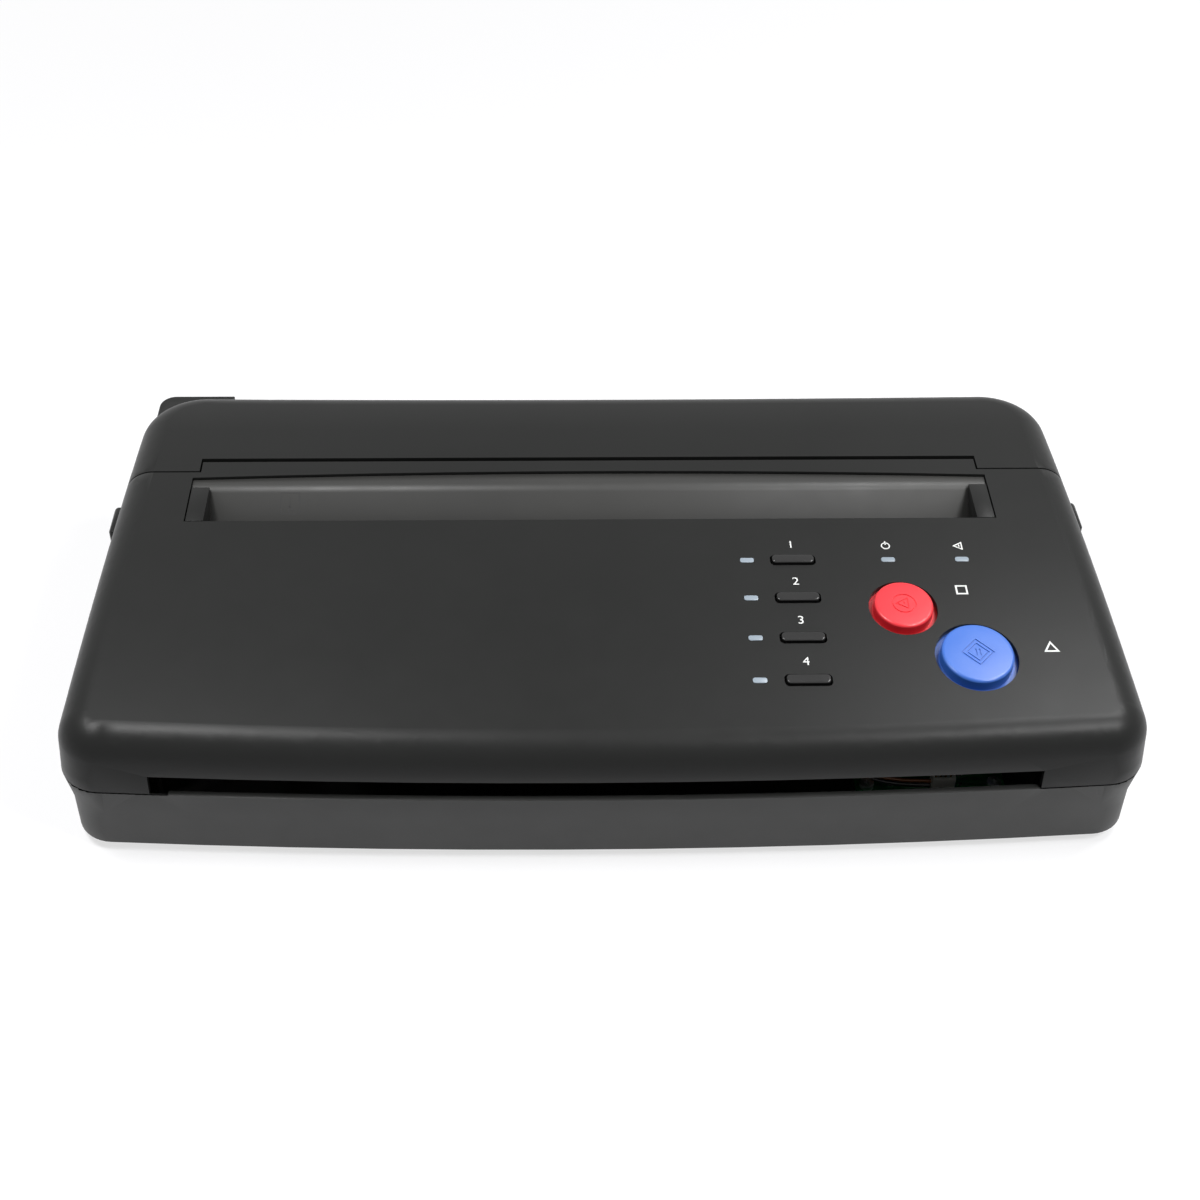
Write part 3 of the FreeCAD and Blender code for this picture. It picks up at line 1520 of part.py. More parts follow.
def build_rocker():
    centre = rocker_centre()
    half = rocker_tall / 2
    tilt = math.tan(math.radians(rocker_tilt_deg))
    front = rocker_pin_inset - half * tilt
    corners = [(-rocker_depth + rocker_pin_inset, -half / 2), (front, -half),
               (rocker_pin_inset - rocker_stand, 0),
               (front, half), (-rocker_depth + rocker_pin_inset, half / 2)]
    points = [V(switch_x - rocker_width / 2, centre.y + y, centre.z + z) for y, z in corners]
    body = Part.Face(Part.makePolygon(points + points[:1])).extrude(V(rocker_width, 0, 0))
    pin = rod(rocker_pin_radius, V(switch_x - rocker_width / 2 - rocker_gap, centre.y, centre.z), V(1, 0, 0),
              rocker_width + 2 * rocker_gap)
    rocker = fused([body, pin])
    rocker.rotate(centre, V(1, 0, 0), -rocker_tilt_deg)
    return rocker


# Leads

def rounded_path(points):
    """Straight runs through the points, joined by arcs as large as the runs allow."""
    edges = []
    start = points[0]
    for index in range(1, len(points) - 1):
        corner = points[index]
        before = corner - points[index - 1]
        after = points[index + 1] - corner
        turn = before.getAngle(after)
        shorter = min(before.Length, after.Length)
        setback = bend_setback_share * shorter
        before.normalize()
        after.normalize()
        radius = setback / math.tan(turn / 2)
        arc_start = corner - before * setback
        arc_end = corner + after * setback
        inward = after - before
        inward.normalize()
        middle = corner + inward * (radius / math.cos(turn / 2) - radius)
        print("lead bend radius", round(radius, 1))
        edges.append(Part.makeLine(start, arc_start))
        edges.append(Part.Arc(arc_start, middle, arc_end).toShape())
        start = arc_end
    edges.append(Part.makeLine(start, points[-1]))
    return Part.Wire(edges)


def lead(points, radius):
    path = rounded_path(points)
    direction = points[1] - points[0]
    ring = Part.Wire([Part.makeCircle(radius, points[0], direction)])
    tube = path.makePipeShell([ring], True, False)
    return tube


def shifted(points, offset):
    return [point + offset for point in points]


def motor_lead_route():
    """From the front plug on the main board, round behind the exit slot, and across to the motor."""
    plug_x = plug_xs[0] - plug_width / 2
    plug_y = back(plug_backs[0])
    high = main_height + board_thickness + plug_tall / 2
    motor_end = -frame_x + motor_length
    return [V(plug_x, plug_y, high), V(113, plug_y, high), V(100, plug_y + 6, high),
            V(92, plug_y + 19, high - 2), V(78, plug_y + 30, high - 10), V(52, plug_y + 36, 17),
            V(2, plug_y + 35, 14), V(-50, plug_y + 37, 16), V(-76, plug_y + 45, 20),
            V(motor_end, plug_y + 45, 20)]


def build_motor_lead(level):
    offset = V(0, 0, -level * lead_spacing)
    return lead(shifted(motor_lead_route(), offset), lead_radius)


def build_supply_leads():
    """From the inlet's and the switch's rear to the terminal block on the power supply board."""
    end_y = back(supply_rear_back)
    end_z = supply_top + terminal_size[2] / 2
    inlet_y = back(depth) - inlet_depth
    switch_y = back(depth) - rocker_stand - rocker_body_depth
    starts = ((inlet_x + blade_side, inlet_y), (inlet_x, inlet_y), (switch_x, switch_y))
    leads = []
    for index, (x, y) in enumerate(starts):
        end_x = supply_mid_x() + (1 - index) * blade_side
        run = (y - end_y) / 3
        start = V(x, y, rear_bay_height)
        end = V(end_x, end_y, end_z)
        leads.append(lead([start, start - V(0, run, 0), end + V(0, run, 0), end], lead_radius))
    return Part.makeCompound(leads)


def main():
    os.makedirs("parts", exist_ok=True)
    latch = build_latch()
    latch_spring = build_latch_spring()
    pieces = {
        "bottom_casing": build_bottom_casing(),
        "rear_cover": build_rear_cover(),
        "front_cover": build_front_cover(),
        "rubber_feet": build_feet(),
        "casing_screws": Part.makeCompound(build_casing_screws()),
        "frame_screws": Part.makeCompound(build_frame_screws()),
        "hinge_pins": build_hinge_pins(),
        "document_tray": build_tray(),
        "paper_guide_left": build_guide(-1),
        "paper_guide_right": build_guide(1),
        "guide_pinion": build_guide_pinion(),
        "indicator_windows": build_lights(),
        "indicator_lamps": build_lamps(),
        "control_board": build_control_board(),
        "control_switches": build_switches(),
        "cover_screws": build_cover_screws(),
        "stop_button": build_round_button(stop_x, stop_back, stop_radius, stop_ring_gap, stop_stand),
        "copy_button": build_round_button(copy_x, copy_back, copy_radius, copy_ring_gap, copy_stand),
        "latch_right": latch,
        "latch_left": mirrored(latch),
        "latch_spring_right": latch_spring,
        "latch_spring_left": mirrored(latch_spring),
        "sensor_glass": sensor_slab(sensor_low, sensor_low + sensor_glass),
        "image_sensor_bar": sensor_slab(sensor_low + sensor_glass, sensor_low + sensor_tall),
        "left_side_frame": build_side_frame(-1),
        "right_side_frame": build_side_frame(1),
        "roller_bushes": build_bushes(),
        "platen_shaft": build_roller_shaft(platen_axis),
        "platen_rubber": build_platen_rubber(),
        "platen_gear": placed_gear(platen_teeth, roller_shaft_radius + press_clearance, 0, platen_axis),
        "feed_shaft": build_roller_shaft(feed_axis),
        "feed_tyres": build_feed_tyres(),
        "feed_gear": placed_gear(feed_teeth, roller_shaft_radius + press_clearance, feed_phase, feed_axis),
        "idler_stud": build_idler_stud(),
        "idler_gear": placed_gear(idler_teeth, idler_stud_radius + shaft_clearance, idler_phase, idler_axis),
        "stepper_motor": build_motor(),
        "motor_shaft": build_motor_shaft(),
        "motor_pinion": placed_gear(motor_teeth, motor_shaft_radius + press_clearance, motor_phase,
                                    motor_axis),
        "thermal_print_head": build_print_head(),
        "head_heat_sink": build_head_sink(),
        "head_springs": build_head_springs(),
        "head_support_beam": build_head_beam(),
        "exit_chute": build_exit_chute(),
        "stencil_chute": build_stencil_chute(),
        "main_board": build_main_board(),
        "board_connectors": build_connectors(),
        "power_supply_board": build_supply_board(),
        "transformer": build_transformer(),
        "capacitors": build_capacitors(),
        "supply_heat_sink": build_supply_sink(),
        "power_inlet": build_inlet(),
        "inlet_blades": build_inlet_blades(),
        "switch_housing": build_switch_housing(),
        "power_rocker": build_rocker(),
        "motor_leads": Part.makeCompound([build_motor_lead(0), build_motor_lead(1)]),
        "supply_leads": build_supply_leads(),
    }
    for number, distance in enumerate(key_backs, start=1):
        pieces["mode_key_" + str(number)] = build_key(distance)
    for name, shape in pieces.items():
        shape.exportStep("parts/" + name + ".step")
    box = Part.makeCompound(list(pieces.values())).BoundBox
    print("pieces", len(pieces), "size", round(box.XLength, 2), round(box.YLength, 2), round(box.ZLength, 2))
    print("low corner", round(box.XMin, 2), round(box.YMin, 2), round(box.ZMin, 2))
    for label, axis in (("platen", platen_axis), ("feed", feed_axis), ("idler", idler_axis),
                        ("motor", motor_axis)):
        print(label, "axis", round(axis[0], 4), round(axis[1], 4))


main()
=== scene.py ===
# %% [markdown]
# # Finishing a desktop stencil copier
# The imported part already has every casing, gear, board and button at its real size. Here it gets its
# looks: soft edges that catch the light, moulded and metal finishes, wound springs, printed marks and
# the small electronics that a solid model leaves plain. Nothing of the part itself is moved.

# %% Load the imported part
import bpy
import bmesh
import json
import math
from mathutils import Matrix, Vector
from mathutils.bvhtree import BVHTree

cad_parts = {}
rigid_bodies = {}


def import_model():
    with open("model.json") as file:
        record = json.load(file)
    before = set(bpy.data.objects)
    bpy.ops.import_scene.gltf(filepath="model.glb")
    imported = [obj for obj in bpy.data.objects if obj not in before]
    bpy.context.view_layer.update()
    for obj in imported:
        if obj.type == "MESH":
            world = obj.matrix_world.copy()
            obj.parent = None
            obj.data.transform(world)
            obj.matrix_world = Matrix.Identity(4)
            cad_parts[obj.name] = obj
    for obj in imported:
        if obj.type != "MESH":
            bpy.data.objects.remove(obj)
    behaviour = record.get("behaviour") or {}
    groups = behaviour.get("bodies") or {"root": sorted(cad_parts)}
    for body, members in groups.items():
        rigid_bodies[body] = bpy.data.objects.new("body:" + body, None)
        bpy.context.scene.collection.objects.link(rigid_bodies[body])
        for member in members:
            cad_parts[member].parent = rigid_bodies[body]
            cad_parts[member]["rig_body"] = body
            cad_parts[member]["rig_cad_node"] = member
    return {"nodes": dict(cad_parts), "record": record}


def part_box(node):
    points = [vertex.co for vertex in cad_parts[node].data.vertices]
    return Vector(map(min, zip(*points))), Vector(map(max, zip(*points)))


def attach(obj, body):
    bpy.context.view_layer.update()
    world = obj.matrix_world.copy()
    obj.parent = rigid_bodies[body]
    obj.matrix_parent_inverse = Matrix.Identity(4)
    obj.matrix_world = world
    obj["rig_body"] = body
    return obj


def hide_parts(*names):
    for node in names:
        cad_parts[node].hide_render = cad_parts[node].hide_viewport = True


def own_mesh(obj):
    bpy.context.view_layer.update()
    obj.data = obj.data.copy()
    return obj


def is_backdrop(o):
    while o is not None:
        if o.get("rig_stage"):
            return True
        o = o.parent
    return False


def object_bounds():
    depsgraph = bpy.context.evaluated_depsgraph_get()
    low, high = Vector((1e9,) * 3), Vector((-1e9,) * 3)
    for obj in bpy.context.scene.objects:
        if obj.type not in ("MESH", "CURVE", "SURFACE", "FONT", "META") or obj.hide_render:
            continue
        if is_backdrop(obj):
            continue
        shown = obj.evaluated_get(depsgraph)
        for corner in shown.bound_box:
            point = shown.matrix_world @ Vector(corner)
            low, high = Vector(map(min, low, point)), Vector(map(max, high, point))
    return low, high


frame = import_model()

cad_low, cad_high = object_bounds()
print("nodes:", len(frame["nodes"]), "size in mm:", [round(1000 * side, 1) for side in cad_high - cad_low])

# %% [markdown]
# ## A few habits
# Blender's operators act on whatever is selected, so each step starts by selecting one piece only.
# Lengths are written in millimetres times `MM`. The record says which finish and which moving body
# each node belongs to, so both are looked up there and never typed twice.

# %% Selecting, and settling a finished piece
MM = 0.001
finish_of = {row["node"]: row["material_slot"] for row in frame["record"]["subparts"]}
home_of = {}
for body, members in frame["record"]["behaviour"]["bodies"].items():
    for member in members:
        home_of[member] = body


def select_only(*pieces):
    bpy.ops.object.select_all(action="DESELECT")
    for piece in pieces:
        piece.select_set(True)
    bpy.context.view_layer.objects.active = pieces[0]


def edit_all(piece):
    select_only(piece)
    bpy.ops.object.mode_set(mode="EDIT")
    bpy.ops.mesh.select_all(action="SELECT")


def leave_edit():
    bpy.ops.object.mode_set(mode="OBJECT")


def pick_faces(piece, wanted):
    """In edit mode: selects the faces whose centre and normal the test likes, and no others."""
    bpy.ops.mesh.select_mode(type="FACE")
    bpy.ops.mesh.select_all(action="DESELECT")
    mesh = bmesh.from_edit_mesh(piece.data)
    for face in mesh.faces:
        face.select_set(bool(wanted(face.calc_center_median(), face.normal)))
    bmesh.update_edit_mesh(piece.data)


print("finishes named by the record:", len(set(finish_of.values())))

# %% [markdown]
# ## Adding and shaping
# Four small moves do most of the work below: put a primitive at its place and size, round its sharp
# edges with a Bevel modifier, cut it with a Boolean modifier, and settle it, which freezes its place
# into its mesh, gives it its finish and lets it ride on the body it belongs to.

# %% Primitives, rounding and settling
def freeze(piece):
    """Writes a piece's place, turn and scale into its mesh."""
    select_only(piece)
    bpy.ops.object.transform_apply(location=True, rotation=True, scale=True)
    return piece


def new_object(name, data):
    piece = bpy.data.objects.new(name, data)
    bpy.context.scene.collection.objects.link(piece)
    return piece


def add_block(low, high):
    low = Vector(low)
    high = Vector(high)
    bpy.ops.mesh.primitive_cube_add(size=1.0, location=(low + high) / 2)
    bpy.context.object.scale = high - low
    return freeze(bpy.context.object)


def box_at(x, y, half_x, half_y, low, high):
    """The two corners of an upright box around a point."""
    return (x - half_x, y - half_y, low), (x + half_x, y + half_y, high)


def add_rod(radius, start, end, sides=32):
    start = Vector(start)
    end = Vector(end)
    bpy.ops.mesh.primitive_cylinder_add(vertices=sides, radius=radius, depth=(end - start).length,
                                        location=(start + end) / 2,
                                        rotation=(end - start).to_track_quat("Z", "Y").to_euler())
    return freeze(bpy.context.object)


def stand_on(piece, place, way):
    """Moves a piece made at the origin to a place and turns its +Z to point the given way."""
    piece.matrix_world = Matrix.Translation(place) @ way.to_track_quat("Z", "Y").to_matrix().to_4x4()
    freeze(piece)


def apply_modifier(piece, kind, **settings):
    select_only(piece)
    bpy.ops.object.modifier_add(type=kind)
    modifier = piece.modifiers[-1]
    for label, value in settings.items():
        setattr(modifier, label, value)
    bpy.ops.object.modifier_apply(modifier=modifier.name)


def round_edges(piece, width, segments=2, angle=math.radians(35)):
    apply_modifier(piece, "BEVEL", width=width, segments=segments, limit_method="ANGLE",
                   angle_limit=angle, use_clamp_overlap=True, miter_outer="MITER_ARC")


def smooth(piece, angle=math.radians(32)):
    select_only(piece)
    bpy.ops.object.shade_smooth_by_angle(angle=angle)


def soft_block(low, high, rounding, segments=2):
    piece = add_block(low, high)
    round_edges(piece, rounding, segments)
    smooth(piece)
    return piece


def cut(piece, cutter):
    apply_modifier(piece, "BOOLEAN", operation="DIFFERENCE", object=cutter, solver="EXACT")
    bpy.data.objects.remove(cutter)


def join(first, *others):
    select_only(first, *others)
    bpy.ops.object.join()
    return first


def dressed(piece, finish):
    """Gives a piece a finish of its own, before it is settled."""
    piece.data.materials.append(finishes[finish])
    return piece


def settle(piece, name, finish, body, *stands_for):
    freeze(piece)
    piece.name = name
    piece.data.name = name
    if not piece.data.materials:
        dressed(piece, finish)
    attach(piece, body)
    if stands_for:
        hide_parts(*stands_for)
    return piece


finishes = {}

# %% [markdown]
# ## Finishes start with shared effects
# A moulded surface is never one flat colour: its tone drifts over centimetres, its gloss drifts too,
# and a fine spark-eroded grain breaks up highlights. Metal shows drawn lines instead. Each effect is
# a node group with its own sockets, so that every material that uses it sets only its own values.

# %% Node group helper
def new_group(name, inputs):
    """A group with the given inputs. What it makes is always a colour, a roughness and a normal."""
    group = bpy.data.node_groups.new(name, "ShaderNodeTree")
    for label, kind, value in inputs:
        socket = group.interface.new_socket(label, in_out="INPUT", socket_type=kind)
        socket.default_value = value
    for label, kind in (("Colour", "NodeSocketColor"), ("Roughness", "NodeSocketFloat"),
                        ("Normal", "NodeSocketVector")):
        group.interface.new_socket(label, in_out="OUTPUT", socket_type=kind)
    return group, group.nodes.new("NodeGroupInput").outputs


def close_group(group, colour, roughness, normal):
    made = group.nodes.new("NodeGroupOutput").inputs
    for label, source in (("Colour", colour), ("Roughness", roughness), ("Normal", normal)):
        group.links.new(source, made[label])
    return group


def feed(tree, socket, source):
    """Gives a socket a plain number, or links another socket to it."""
    if isinstance(source, float):
        socket.default_value = source
    else:
        tree.links.new(source, socket)


def add_noise(tree, place, scale, detail=2.0):
    noise = tree.nodes.new("ShaderNodeTexNoise")
    for label, source in (("Vector", place), ("Scale", scale), ("Detail", detail)):
        feed(tree, noise.inputs[label], source)
    return noise.outputs["Fac"]


def add_range(tree, value, low, high, start=0.3, end=0.7):
    spread = tree.nodes.new("ShaderNodeMapRange")
    for label, source in (("Value", value), ("From Min", start), ("From Max", end),
                          ("To Min", low), ("To Max", high)):
        feed(tree, spread.inputs[label], source)
    return spread.outputs["Result"]


def add_mix(tree, share, first, second):
    mix = tree.nodes.new("ShaderNodeMix")
    mix.data_type = "RGBA"
    tree.links.new(share, mix.inputs["Factor"])
    colour_inputs = [socket for socket in mix.inputs if socket.type == "RGBA"]
    for socket, source in zip(colour_inputs, (first, second)):
        tree.links.new(source, socket)
    return [socket for socket in mix.outputs if socket.type == "RGBA"][0]


def add_bump(tree, height, distance):
    bump = tree.nodes.new("ShaderNodeBump")
    for label, source in (("Strength", 1.0), ("Height", height), ("Distance", distance)):
        feed(tree, bump.inputs[label], source)
    return bump.outputs["Normal"]


# %% [markdown]
# ## Moulded grain
# Three noises of very different size do the work: clouds as wide as a hand shift the tone, patches of
# a centimetre shift the gloss, and the grain itself is a bump of a few hundredths of a millimetre.

# %% The moulded grain group
cloud_scale = 14.0
patch_scale = 90.0


def build_moulded_grain():
    group, given = new_group(
        "Moulded grain",
        [("Dark tone", "NodeSocketColor", (0.02, 0.02, 0.02, 1)),
         ("Light tone", "NodeSocketColor", (0.03, 0.03, 0.03, 1)),
         ("Smoothest", "NodeSocketFloat", 0.4),
         ("Roughest", "NodeSocketFloat", 0.5),
         ("Grain scale", "NodeSocketFloat", 1500.0),
         ("Grain depth", "NodeSocketFloat", 0.00002)])
    place = group.nodes.new("ShaderNodeTexCoord").outputs["Object"]
    clouds = add_noise(group, place, cloud_scale)
    patches = add_noise(group, place, patch_scale, 4.0)
    grain = add_noise(group, place, given["Grain scale"], 3.0)
    share = add_range(group, clouds, 0.0, 1.0)
    return close_group(group, add_mix(group, share, given["Dark tone"], given["Light tone"]),
                       add_range(group, patches, given["Smoothest"], given["Roughest"]),
                       add_bump(group, grain, given["Grain depth"]))


moulded_grain = build_moulded_grain()
print("group:", moulded_grain.name, "with", len(moulded_grain.nodes), "nodes")

# %% [markdown]
# ## Drawn metal
# Rolled sheet, extrusions and turned shafts all show fine parallel lines. Stretching a noise along
# one axis draws them. The stretch is an input, so a shaft along X and a fin along Y share the group.

# %% The drawn lines group
def build_drawn_lines():
    group, given = new_group(
        "Drawn lines",
        [("Dark tone", "NodeSocketColor", (0.5, 0.5, 0.5, 1)),
         ("Light tone", "NodeSocketColor", (0.6, 0.6, 0.6, 1)),
         ("Smoothest", "NodeSocketFloat", 0.25),
         ("Roughest", "NodeSocketFloat", 0.4),
         ("Line scale", "NodeSocketVector", (20.0, 900.0, 900.0)),
         ("Line depth", "NodeSocketFloat", 0.00001)])
    place = group.nodes.new("ShaderNodeTexCoord").outputs["Object"]
    stretch = group.nodes.new("ShaderNodeMapping")
    group.links.new(place, stretch.inputs["Vector"])
    group.links.new(given["Line scale"], stretch.inputs["Scale"])
    lines = add_noise(group, stretch.outputs["Vector"], 1.0, 3.0)
    stains = add_noise(group, place, patch_scale, 3.0)
    share = add_range(group, stains, 0.0, 1.0)
    return close_group(group, add_mix(group, share, given["Dark tone"], given["Light tone"]),
                       add_range(group, lines, given["Smoothest"], given["Roughest"]),
                       add_bump(group, lines, given["Line depth"]))


drawn_lines = build_drawn_lines()
print("group:", drawn_lines.name)

# %% [markdown]
# ## One way to fill a material
# Every finish is a Principled shader whose colour, gloss and normal come from one of the groups. What
# is the same all over, such as metalness or coat, is set on the shader's own sockets.

# %% Material builder
def new_finish(slot, group, values, **shader_values):
    material = bpy.data.materials.new(slot)
    material.use_nodes = True
    tree = material.node_tree
    shader = tree.nodes["Principled BSDF"]
    for label, value in shader_values.items():
        shader.inputs[label.replace("_", " ")].default_value = value
    effect = tree.nodes.new("ShaderNodeGroup")
    effect.node_tree = group
    for label, value in values.items():
        effect.inputs[label].default_value = value
    for made, wanted in (("Colour", "Base Color"), ("Roughness", "Roughness"), ("Normal", "Normal")):
        tree.links.new(effect.outputs[made], shader.inputs[wanted])
    finishes[slot] = material
    return material


def plastic(slot, dark, light, smoothest, roughest, grain_scale, grain_depth, **shader_values):
    return new_finish(slot, moulded_grain,
                      {"Dark tone": (*dark, 1), "Light tone": (*light, 1), "Smoothest": smoothest,
                       "Roughest": roughest, "Grain scale": grain_scale, "Grain depth": grain_depth},
                      **shader_values)


def metal(slot, dark, light, smoothest, roughest, line_scale, line_depth=0.00001, **shader_values):
    return new_finish(slot, drawn_lines,
                      {"Dark tone": (*dark, 1), "Light tone": (*light, 1), "Smoothest": smoothest,
                       "Roughest": roughest, "Line scale": line_scale, "Line depth": line_depth},
                      Metallic=1.0, **shader_values)


# %% [markdown]
# ## Plastics
# The casings are black plastic with a matte, spark-eroded texture, which shows as a soft dark grey
# under a studio light. The bottom casing has a slightly coarser grain and a lighter tone, which is
# partly a grey of its own and partly painted light: the lift stands in for the table's glow reflected
# on its lower band. Keys are the same plastic polished. The two round buttons and the lenses are
# satin, the gears white acetal, and the sleeves of the leads soft vinyl.

# %% Plastic finishes
plastic("black", (0.0062, 0.0065, 0.0062), (0.0078, 0.0081, 0.0078), 0.38, 0.41, 1500.0, 0.000016,
        Specular_IOR_Level=0.2)
# The bottom casing's black is lighter than the covers' black; part of that lift is painted light for the
# glow that the table reflects on its lower band.
plastic("black_base_painted_light", (0.015, 0.0155, 0.0148), (0.019, 0.0195, 0.0186), 0.46, 0.50, 1300.0, 0.00002,
        Specular_IOR_Level=0.5)
plastic("tray", (0.022, 0.022, 0.021), (0.026, 0.026, 0.0245), 0.42, 0.48, 1100.0, 0.000012,
        Specular_IOR_Level=0.4)
plastic("key_black", (0.006, 0.006, 0.006), (0.009, 0.009, 0.009), 0.14, 0.22, 700.0, 0.000004)
plastic("red", (0.66, 0.014, 0.024), (0.74, 0.022, 0.034), 0.30, 0.36, 900.0, 0.000008, Coat_Weight=0.08)
plastic("blue", (0.024, 0.105, 0.44), (0.032, 0.130, 0.50), 0.30, 0.36, 900.0, 0.000008, Coat_Weight=0.08)
plastic("lens", (0.19, 0.23, 0.27), (0.26, 0.31, 0.36), 0.30, 0.38, 800.0, 0.000006)
plastic("bush", (0.10, 0.10, 0.10), (0.14, 0.14, 0.14), 0.5, 0.6, 1500.0, 0.00002)
plastic("gear", (0.66, 0.66, 0.61), (0.74, 0.74, 0.69), 0.38, 0.48, 900.0, 0.00001,
        Subsurface_Weight=0.1, Subsurface_Scale=0.001)
plastic("rubber", (0.018, 0.018, 0.018), (0.028, 0.028, 0.028), 0.62, 0.76, 1800.0, 0.00004)
plastic("feet", (0.012, 0.012, 0.012), (0.02, 0.02, 0.02), 0.66, 0.8, 1200.0, 0.00004)
plastic("white", (0.62, 0.62, 0.57), (0.70, 0.70, 0.65), 0.4, 0.5, 900.0, 0.00001)
plastic("yellow", (0.60, 0.42, 0.04), (0.70, 0.51, 0.07), 0.28, 0.4, 500.0, 0.00002)
plastic("can", (0.020, 0.028, 0.075), (0.028, 0.038, 0.095), 0.22, 0.32, 600.0, 0.000006)
plastic("head", (0.58, 0.56, 0.49), (0.66, 0.64, 0.57), 0.16, 0.26, 700.0, 0.000004)
plastic("motor", (0.012, 0.012, 0.013), (0.02, 0.02, 0.021), 0.28, 0.4, 900.0, 0.00001)
plastic("lead_brown", (0.20, 0.055, 0.012), (0.27, 0.08, 0.02), 0.35, 0.45, 900.0, 0.000008)
plastic("lead_black", (0.010, 0.010, 0.010), (0.018, 0.018, 0.018), 0.35, 0.45, 900.0, 0.000008)
plastic("ink", (0.60, 0.61, 0.60), (0.68, 0.69, 0.68), 0.5, 0.6, 1500.0, 0.000004)
plastic("chip", (0.010, 0.010, 0.011), (0.016, 0.016, 0.017), 0.45, 0.55, 1400.0, 0.00001)
print("plastics so far:", len(finishes))

# %% [markdown]
# ## Metals and glass
# The frames are zinc-plated sheet, the shafts ground steel, the heat sinks extruded aluminium and the
# contact blades brass. Line directions follow how each is made: sheet and shafts run along X here,
# and the fins along Y.

# %% Metal finishes
along_x = (25.0, 1100.0, 1100.0)
along_y = (1100.0, 25.0, 1100.0)
along_z = (1100.0, 1100.0, 25.0)
metal("steel", (0.42, 0.43, 0.44), (0.52, 0.53, 0.53), 0.30, 0.44, along_y)
metal("bright_steel", (0.60, 0.60, 0.61), (0.68, 0.68, 0.69), 0.12, 0.22, along_x)
metal("spring_steel", (0.40, 0.40, 0.41), (0.50, 0.50, 0.51), 0.22, 0.34, along_z)
metal("aluminium", (0.58, 0.59, 0.60), (0.67, 0.68, 0.69), 0.26, 0.40, along_x)
metal("brass", (0.52, 0.36, 0.12), (0.62, 0.45, 0.18), 0.2, 0.32, along_y)
plastic("glass", (0.80, 0.86, 0.85), (0.86, 0.91, 0.90), 0.02, 0.06, 700.0, 0.000001,
        Transmission_Weight=0.9, IOR=1.5)
print("finishes now:", len(finishes))

# %% [markdown]
# ## Printed circuit boards
# A board is green lacquer over copper tracks. The tracks stand up a few hundredths of a millimetre
# and read slightly lighter. A brick pattern gives long parallel tracks with jogs, a fine cell pattern
# gives the pads, and both feed the colour and the bump.

# %% Board finish
def build_solder_mask():
    group, given = new_group(
        "Solder mask",
        [("Lacquer", "NodeSocketColor", (0.004, 0.075, 0.02, 1)),
         ("Track", "NodeSocketColor", (0.012, 0.15, 0.04, 1)),
         ("Pad", "NodeSocketColor", (0.45, 0.44, 0.40, 1))])
    place = group.nodes.new("ShaderNodeTexCoord").outputs["Object"]
    tracks = group.nodes.new("ShaderNodeTexBrick")
    tracks.offset = 0.37
    for label, value in (("Scale", 160.0), ("Mortar Size", 0.09), ("Brick Width", 2.3),
                         ("Row Height", 0.42), ("Mortar Smooth", 0.2)):
        tracks.inputs[label].default_value = value
    group.links.new(place, tracks.inputs["Vector"])
    cells = group.nodes.new("ShaderNodeTexVoronoi")
    cells.inputs["Scale"].default_value = 260.0
    group.links.new(place, cells.inputs["Vector"])
    pads = add_range(group, cells.outputs["Distance"], 1.0, 0.0, 0.10, 0.13)
    lacquer = add_mix(group, tracks.outputs["Fac"], given["Lacquer"], given["Track"])
    return close_group(group, add_mix(group, pads, lacquer, given["Pad"]),
                       add_range(group, tracks.outputs["Fac"], 0.32, 0.24, 0.0, 1.0),
                       add_bump(group, tracks.outputs["Fac"], 0.00004))


new_finish("board", build_solder_mask(), {})
print("board finish has", len(finishes["board"].node_tree.nodes), "nodes and one group")

# %% [markdown]
# ## Soft edges for the CAD pieces
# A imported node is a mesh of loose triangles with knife-sharp edges, and a real moulding never has
# those. So a copy of each hard piece is welded, its flat triangles are dissolved into faces, its sharp
# edges get a bevel a fraction of a millimetre wide, and smooth shading is limited by angle. The copy
# stands for the node, in exactly its place.

# %% Copy, weld, bevel
weld_distance = 0.000001
flat_angle = math.radians(0.15)


def finished_copy(node):
    select_only(frame["nodes"][node])
    bpy.ops.object.duplicate()
    piece = bpy.context.object
    bpy.ops.object.parent_clear(type="CLEAR_KEEP_TRANSFORM")
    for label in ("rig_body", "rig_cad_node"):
        del piece[label]
    piece.data.materials.clear()
    bpy.ops.mesh.customdata_custom_splitnormals_clear()
    edit_all(piece)
    bpy.ops.mesh.remove_doubles(threshold=weld_distance)
    bpy.ops.mesh.dissolve_limited(angle_limit=flat_angle)
    leave_edit()
    return piece


def finish_node(node, rounding):
    piece = finished_copy(node)
    if rounding:
        round_edges(piece, rounding * MM)
    smooth(piece)
    # The bottom casing gets the lighter black, whose extra tone is partly painted light.
    if node == "bottom_casing":
        dressed(piece, "black_base_painted_light")
    return settle(piece, node + "_finished", finish_of[node], home_of[node], node)


# %% [markdown]
# ## How round each edge is
# Thin sheet and gear teeth keep crisp edges of a tenth of a millimetre, mouldings have about a third,
# and rubber is softer still. The table below holds one width for each piece that needs no more work.

